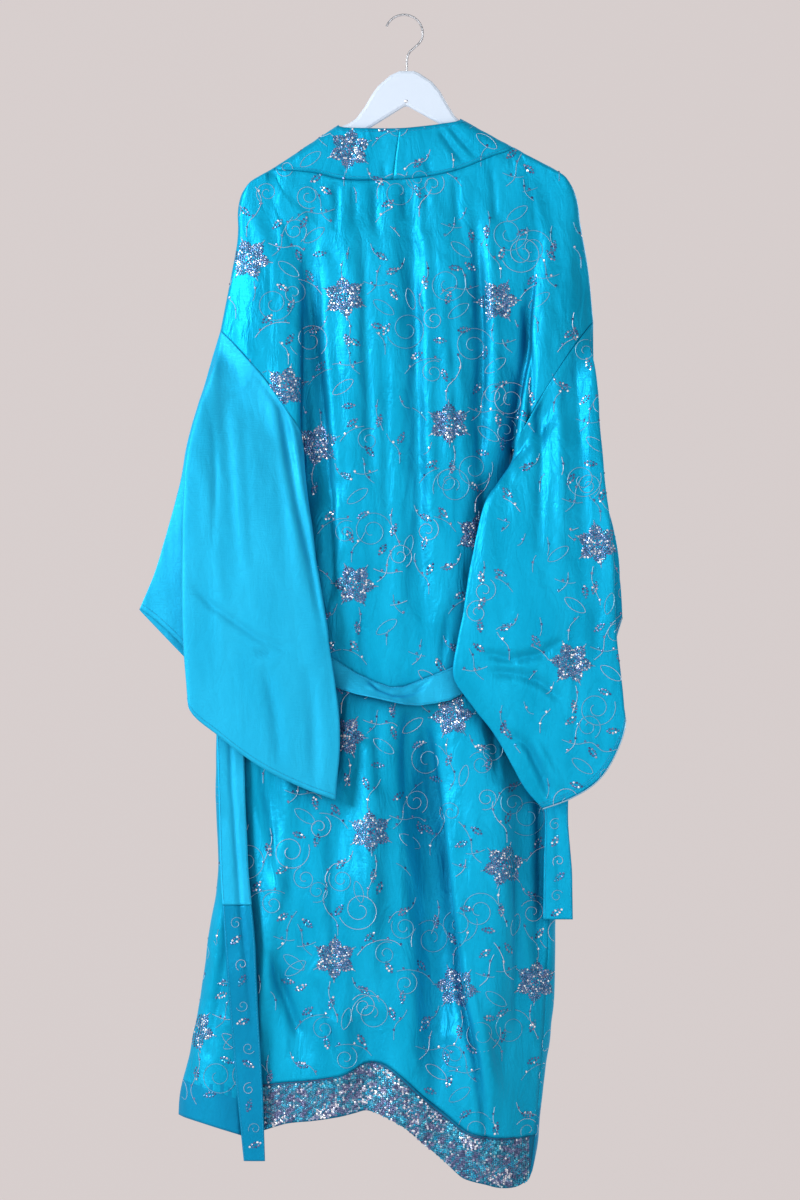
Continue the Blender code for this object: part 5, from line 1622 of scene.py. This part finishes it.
class Belt:
    """The belt across the back with its loops and two hanging tails."""

    def __init__(self, form: Form, finishes: Finishes) -> None:
        """Hold the robe's form.

        Args:
            form: The robe's form.
            finishes: All finishes.
        """
        self.form = form
        self.finishes = finishes
        self.sizes = StripLine()
        self.shells: dict[str, Shell] = {}

    def body_front(self, x: float, z: float, margin: float, reach: float = 9.0) -> float:
        """The nearest y that stays in front of the back panel around a place."""
        steps = (-reach, 0, reach)
        return min(self.form.back_y(x + shift, z + lift) for shift in steps for lift in steps) - margin

    def build(self) -> dict[str, bpy.types.Object]:
        """Build the belt, its tails and its loops."""
        sizes, finishes = self.sizes, self.finishes
        strip = []
        for x, top, low, lean in halved(sizes.belt):
            y = self.body_front(x, (top + low) / 2, sizes.clearance)
            strip.append([(x, y, top), (x, y - lean, (top + low) / 2), (x, y - 2 * lean, low)])
        left = self.tail_rows(sizes.tail_left)
        seam = next(i for i, row in enumerate(left) if row[0][2] < sizes.split_left)
        made = {}
        for name, rows, flip, material, creases in (
                ("belt", strip, True, finishes.plain, BELT_CREASES),
                ("belt_tail_left", left[:seam + 1], False, finishes.plain, TAIL_CREASES),
                ("belt_end_left", left[seam:], False, finishes.hem_cloth, TAIL_CREASES),
                ("belt_tail_right", self.tail_rows(sizes.tail_right), False, finishes.satin, TAIL_CREASES)):
            made[name] = self.weave(name, rows, flip, material, creases)
        made.update(self.loops([row[0] for row in strip]))
        return made

    def tail_rows(self, lines: Table) -> list[list[Row]]:
        """A tail's rows, in front of the back panel."""
        tail = []
        for left, right, z, proud in halved(lines):
            centre = (left + right) / 2
            y = min(self.body_front(spot, z, proud) for spot in (left, centre, right))
            tail.append([(left, y + 1.0, z), (centre, y, z), (right, y + 0.5, z)])
        return tail

    def loops(self, belt_line: Sequence[Row]) -> dict[str, bpy.types.Object]:
        """Two narrow loops near the side seams, which carry the belt."""
        sizes = self.sizes
        keys = [row[0] for row in sizes.belt]
        made = {}
        for side, x in sizes.loops:
            top, low = (spline(keys, [row[column] for row in sizes.belt], x) for column in (1, 2))
            near = [table(tuple(belt_line), 1, x + shift * sizes.loop_width / 2) for shift in (-1, 0, 1)]
            over = min(near) - sizes.thickness / 2 - sizes.loop_thickness / 2 - 0.5
            path = []
            for z, on_body in ((top + 14, True), (top + 8, True), (top + 3.5, False), ((top + low) / 2, False),
                               (low - 3.5, False), (low - 8, True), (low - 14, True)):
                path.append((self.body_front(x, z, 1.9, sizes.loop_width / 2) if on_body else over, z))
            rows = [[(x - sizes.loop_width / 2, y, z), (x, y, z), (x + sizes.loop_width / 2, y, z)]
                    for y, z in path]
            name = "belt_loop_" + Side(int(side)).word
            made[name] = self.weave(name, rows, False, self.finishes.satin, (), 1.2)
        return made

    def weave(self, name: str, rows: Sequence[Sequence[Row]], flip: bool, material: bpy.types.Material,
              creases: Sequence[Crease], step: float = 2.6) -> bpy.types.Object:
        """Weave one strip with slightly fuller edges than middle.

        Args:
            name: The strip's name.
            rows: Its rows.
            flip: Whether its outer side is the other one.
            material: Its finish.
            creases: Its creases.
            step: Mesh size.

        Returns:
            The strip.
        """
        points = np.array(rows, float)
        fine = refine(points, parts_for(points, step))
        shell = Shell(name, across(fine, parts_for(fine.swapaxes(0, 1), step)), flip)
        grain = Grain(len(name) + 0.4, 0.5 if len(creases) else 0.0, 0.16)
        shell.press(creases, grain, 6.0, held=SIDES_HELD)
        self.shells[name] = shell
        return Cloth("robe_" + name, material, 1.8 if len(creases) else 1.2).weave([shell])


class Dressing:
    """Embroidery, sequins and stitching on the pieces."""

    def __init__(self, robe: Robe, belt: Belt, made: dict[str, bpy.types.Object]) -> None:
        """Hold the cloth, and chart the fronts' stars.

        Args:
            robe: The robe.
            belt: The belt.
            made: Pieces by node.
        """
        self.robe = robe
        self.shells = {**robe.shells, **belt.shells}
        self.made = made
        self.extra: dict[str, list[bpy.types.Object]] = {node: [] for node in made}
        front_stars = []
        for row in range(9):
            for x in (-240, -80, 80, 240) if row % 2 else (-160, 0, 160):
                front_stars.append((x, -200 - 160 * row, (row + x // 80) % 2))
        self.back_work = Embroidery(BACK_STARS, 41)
        self.front_work = Embroidery(tuple(front_stars), 90)

    def add(self, node: str, *trimmings: Trimming) -> None:
        """Finish trimmings and let them ride with their ground."""
        for trimming in trimmings:
            item = trimming.finish()
            if item is not None:
                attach(item, BODY)
                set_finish(item, "sequin_border" if "sequins" in item.name else self.made[node]["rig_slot"])
                self.extra[node].append(item)

    def needlework(self, node: str) -> tuple[Trimming, Trimming]:
        """The sequins and the threads that go on a piece."""
        return (Trimming("sequins_on_" + node, self.robe.finishes.sequin, 5 + len(node)),
                Trimming("threads_on_" + node, self.robe.finishes.thread, 6))

    def embroider(self, node: str, towards: Sequence[int], keep: Callable[[float, float], bool]) -> None:
        """Embroider a piece from the back (1) or the front (-1), or both."""
        sequins, threads = self.needlework(node)
        for look in towards:
            work = self.back_work if look == 1 else self.front_work
            work.sew(Canvas(self.made[node], look), sequins, threads, keep)
        self.add(node, sequins, threads)

    def strip(self, node: str, motifs: Table) -> None:
        """Embroider a strip of the belt with curls, a leaf beside each, seen from the back."""
        sequins, threads = self.needlework(node)
        canvas = Canvas(self.made[node], 1)
        for x, z, turn in motifs:
            threads.cord(canvas, Embroidery.spiral(x, z, 9.0, 1.2, turn, 1 if turn > 0 else -1), 0.75)
            Embroidery.leaf(canvas, x, z - 22, math.radians(turn), sequins)
        self.add(node, sequins, threads)

    def dress(self) -> None:
        """Dress every piece."""
        def everywhere(x: float, z: float) -> bool:
            """All places."""
            return True

        def above_border(x: float, z: float) -> bool:
            """Places above the hem border."""
            return z > table(self.robe.lines.border, 1, x) + 6

        def off_seam(x: float, z: float) -> bool:
            """Places away from the right sleeve's plain strip."""
            return x > at_height(RIGHT_SLEEVE.underarm, max(z, -1092))[0] + 16 if z < -660 else True

        self.embroider("back_panel", (1,), above_border)
        for side in Side:
            self.embroider("front_" + side.word, (1, -1), everywhere)
            self.embroider("collar_" + side.word, (1, -1), everywhere)
        self.embroider("sleeve_right", (1, -1), off_seam)
        for node, motifs in BELT_MOTIFS.items():
            self.strip(node, motifs)
        self.borders()
        self.stitching()

    def borders(self) -> None:
        """Close-set sequins on the hem border."""
        finishes, line, node = self.robe.finishes, self.robe.lines.border, "back_hem_border"
        parts = [Trimming(f"{word}_0_{node}", material, seed) for word, material, seed in (
            ("lilac_sequins", finishes.border_sequin, 21), ("teal_sequins", finishes.teal_sequin, 31),
            ("aqua_sequins", finishes.aqua_sequin, 41), ("bright_sequins", finishes.painted_glint_sequin, 51),
            ("threads", finishes.border_thread, 3))]
        SequinBorder().sew(Canvas(self.made[node], 1), line[0][0], line[-1][0],
                           lambda x: (table(line, 1, x), table(line, 2, x)), parts)
        self.add(node, *parts)

    def stitching(self) -> None:
        """Stitch lines at the cuffs, the collar and the belt with its tails, and the piping at the right cuff.
        """
        finishes = self.robe.finishes
        for node, rows in (("sleeve_left", (7.0,)), ("sleeve_right", (6.0, 9.0))):
            thread = Trimming("stitches_" + node, finishes.stitch, 4)
            for away in rows:
                self.stitches(thread, self.shells[node], away)
            self.add(node, thread)
        piping = Trimming("piping_sleeve_right", finishes.thread, 4)
        shell = self.shells["sleeve_right"]
        cuff = zip(shell.grid[-1], shell.normals()[-1])
        piping.tube([(Vector(point), Vector(normal)) for point, normal in cuff], 1.9)
        self.add("sleeve_right", piping)
        for node in ("collar_left", "collar_right", "belt", "belt_tail_left", "belt_end_left",
                     "belt_tail_right"):
            thread = Trimming("stitches_" + node, finishes.stitch, 4)
            for column in (1, -2):
                self.dashes(thread, self.path(self.shells[node], column))
            self.add(node, thread)

    @staticmethod
    def path(shell: Shell, column: int) -> list[tuple[Vector, Vector]]:
        """A column of a shell as places and normals on its outer face."""
        normals = shell.normals()[:, column]
        return [(Vector(point) + Vector(normal) * 0.8, Vector(normal))
                for point, normal in zip(shell.grid[:, column], normals)]

    def stitches(self, thread: Trimming, shell: Shell, away: float) -> None:
        """A row of stitches a distance from a shell's last row."""
        normals = shell.normals()[-1]
        run = []
        for column in range(shell.grid.shape[1]):
            line = shell.grid[::-1, column]
            keys = np.insert(np.cumsum(np.linalg.norm(np.diff(line, axis=0), axis=1)), 0, 0)
            place = [float(np.interp(away, keys, line[:, axis])) for axis in range(3)]
            normal = Vector(normals[column])
            run.append((Vector(place) + normal * 0.5, normal))
        self.dashes(thread, run)

    @staticmethod
    def dashes(thread: Trimming, run: Sequence[tuple[Vector, Vector]], length: float = 3.2,
               gap: float = 1.2) -> None:
        """Stitches of a length with gaps along a run."""
        keys = [0.0]
        for (start, _), (end, _) in zip(run, run[1:]):
            keys.append(keys[-1] + (end - start).length)
        spot = 0.0
        while spot + length < keys[-1]:
            pair = []
            for key in (spot, spot + length):
                index = min(max(bisect_right(keys, key) - 1, 0), len(run) - 2)
                share = (key - keys[index]) / max(keys[index + 1] - keys[index], 1e-6)
                pair.append((run[index][0].lerp(run[index + 1][0], share), run[index][1]))
            thread.tube(pair, 0.7)
            spot += length + gap


class Hanger:
    """The board and the wire hook, which keep their solids, and the screw under the board's middle."""

    def __init__(self, finishes: Finishes) -> None:
        """Hold the finishes."""
        self.finishes = finishes

    def dress(self, nodes: dict[str, bpy.types.Object]) -> None:
        """Give the solids their finishes and set the screw.

        Args:
            nodes: Solids by name.
        """
        for name, material in (("hanger_board", self.finishes.wood), ("hanger_hook", self.finishes.chrome)):
            node = nodes[name]
            node.data.materials.clear()
            node.data.materials.append(material)
        screw = Trimming("hanger_screw", self.finishes.chrome, 1)
        centre = Vector((3, -5.4, -118.5))
        first = len(screw.points)
        sides = 16
        for depth, radius in ((0.9, 2.6), (0, 2.2), (-0.5, 1.2)):
            for spot in range(sides):
                angle = 2 * math.pi * spot / sides
                rim = Vector((radius * math.cos(angle), depth, radius * math.sin(angle)))
                screw.points.append(centre + rim)
        for ring in range(2):
            for spot in range(sides):
                after = (spot + 1) % sides
                base = first + ring * sides
                screw.faces.append((base + spot, base + sides + spot, base + sides + after, base + after))
        screw.faces.append(tuple(range(first + 2 * sides, first + 3 * sides))[::-1])
        screw.faces.append(tuple(range(first, first + sides)))
        item = screw.finish()
        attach(item, BODY)
        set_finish(item, "chrome")


@dataclass(frozen=True)
class Studio:
    """Floor, wall, soft lamps and a level long-lens camera."""

    wall: float = 0.5
    floor: float = -1.75
    distance: float = 7.0
    centre: tuple[float, float] = (-0.0055, -0.807)
    seen: float = 1.658

    @staticmethod
    def open_from_behind(nodes: Nodes) -> None:
        """Let a wall show only its front, so that the robe can be seen from every side."""
        side = nodes.add("ShaderNodeNewGeometry")
        clear = nodes.add("ShaderNodeBsdfTransparent")
        both = nodes.add("ShaderNodeMixShader", links={
            0: side.outputs["Backfacing"], 1: nodes.shader.outputs[0], 2: clear.outputs[0]})
        nodes.tree.links.new(both.outputs[0], nodes.output.inputs["Surface"])

    def build(self) -> None:
        """Set the studio up round the robe."""
        wall, floor = self.wall, self.floor
        for name, code, glow, corners in (
                ("floor", "#DCD5D3", 0.0, ((-6, -8, floor), (6, -8, floor), (6, wall, floor),
                                           (-6, wall, floor))),
                ("backdrop", "#D6CDCC", 0.99, ((-6, wall, floor), (6, wall, floor), (6, wall, 2.5),
                                              (-6, wall, 2.5)))):
            nodes = Nodes(name)
            nodes.fill(nodes.shader, {"Base Color": srgb("#202020" if glow else code), "Roughness": 0.9,
                                      "Specular IOR Level": 0.0, "Emission Color": srgb(code),
                                      "Emission Strength": glow}, {})
            self.open_from_behind(nodes)
            item = place_mesh(name, corners, [(0, 1, 2, 3)], nodes.material)
            item.visible_shadow = not glow
        for name, place, size, power in (
                ("key", (-3.1, -2.1, 0.5), 1.2, 130), ("fill", (2.6, -3.2, -1.0), 2.4, 26),
                ("front", (0.2, -5.8, -0.4), 1.4, 38), ("rear", (1.8, 3.4, 0.2), 1.8, 90)):
            data = bpy.data.lights.new(name, "AREA")
            data.size = size
            data.energy = power
            lamp = bpy.data.objects.new(name, data)
            lamp.location = place
            aim = Vector((0, 0, self.centre[1])) - Vector(place)
            lamp.rotation_euler = aim.to_track_quat("-Z", "Y").to_euler()
            bpy.context.collection.objects.link(lamp)
        world = bpy.data.worlds.new("studio")
        world.use_nodes = True
        world.node_tree.nodes["Background"].inputs["Color"].default_value = srgb("#EDEBEC")
        world.node_tree.nodes["Background"].inputs["Strength"].default_value = 0.4
        bpy.context.scene.world = world
        data = bpy.data.cameras.new("camera")
        data.sensor_width = 36
        data.lens = data.sensor_width * self.distance / self.seen
        camera = bpy.data.objects.new("camera", data)
        camera.location = (self.centre[0], -self.distance, self.centre[1])
        camera.rotation_euler = (math.radians(90), 0, 0)
        bpy.context.collection.objects.link(camera)
        bpy.context.scene.camera = camera
        bpy.context.scene.view_settings.view_transform = "Standard"


# The cut of each piece in metres: width, length and flat area.
FLAT: dict[str, Row] = {
    "back_panel": (0.66, 1.36, 0.58), "back_hem_border": (0.43, 0.066, 0.0275),
    "front_left": (0.26, 1.36, 0.248), "front_right": (0.22, 1.42, 0.206), "sleeve_left": (0.5, 0.47, 0.225),
    "sleeve_right": (0.49, 0.47, 0.22), "collar_left": (0.072, 1.46, 0.1045),
    "collar_right": (0.072, 1.46, 0.1045), "belt": (0.042, 0.49, 0.019),
    "belt_loop_left": (0.01, 0.075, 0.0007), "belt_loop_right": (0.01, 0.075, 0.0007),
    "belt_tail_left": (0.038, 0.44, 0.0165),
    "belt_end_left": (0.038, 0.37, 0.0138), "belt_tail_right": (0.038, 0.42, 0.0158)}


def triangles(item: bpy.types.Object) -> int:
    """How many triangles a mesh object has."""
    return sum(len(face.vertices) - 2 for face in item.data.polygons)


def main() -> None:
    """Build, dress and light the robe."""
    logging.basicConfig(level=logging.INFO)
    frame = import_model()
    finishes = Finishes()
    robe = Robe(finishes)
    made = robe.build()
    belt = Belt(robe.form, finishes)
    made.update(belt.build())
    for node, item in made.items():
        slot = {"back_hem_border": "sequin_border", "sleeve_left": "plain_satin", "belt": "plain_satin",
                "belt_tail_left": "plain_satin"}.get(node, "satin")
        robe.hang(slot, item, node)
        LOG.info("%s: %d faces", item.name, len(item.data.polygons))
    dressing = Dressing(robe, belt, made)
    dressing.dress()
    Hanger(finishes).dress(frame["nodes"])
    for node, item in made.items():
        LOG.info("%s area %.4f, %d triangles", node, sum(face.area for face in item.data.polygons) / 2,
                 triangles(item))
        for extra in dressing.extra[node]:
            LOG.info("%s: %d triangles", extra.name, triangles(extra))
        width, length, area = FLAT[node]
        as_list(dressing.extra[node])
    Studio().build()


if __name__ == "__main__":
    main()
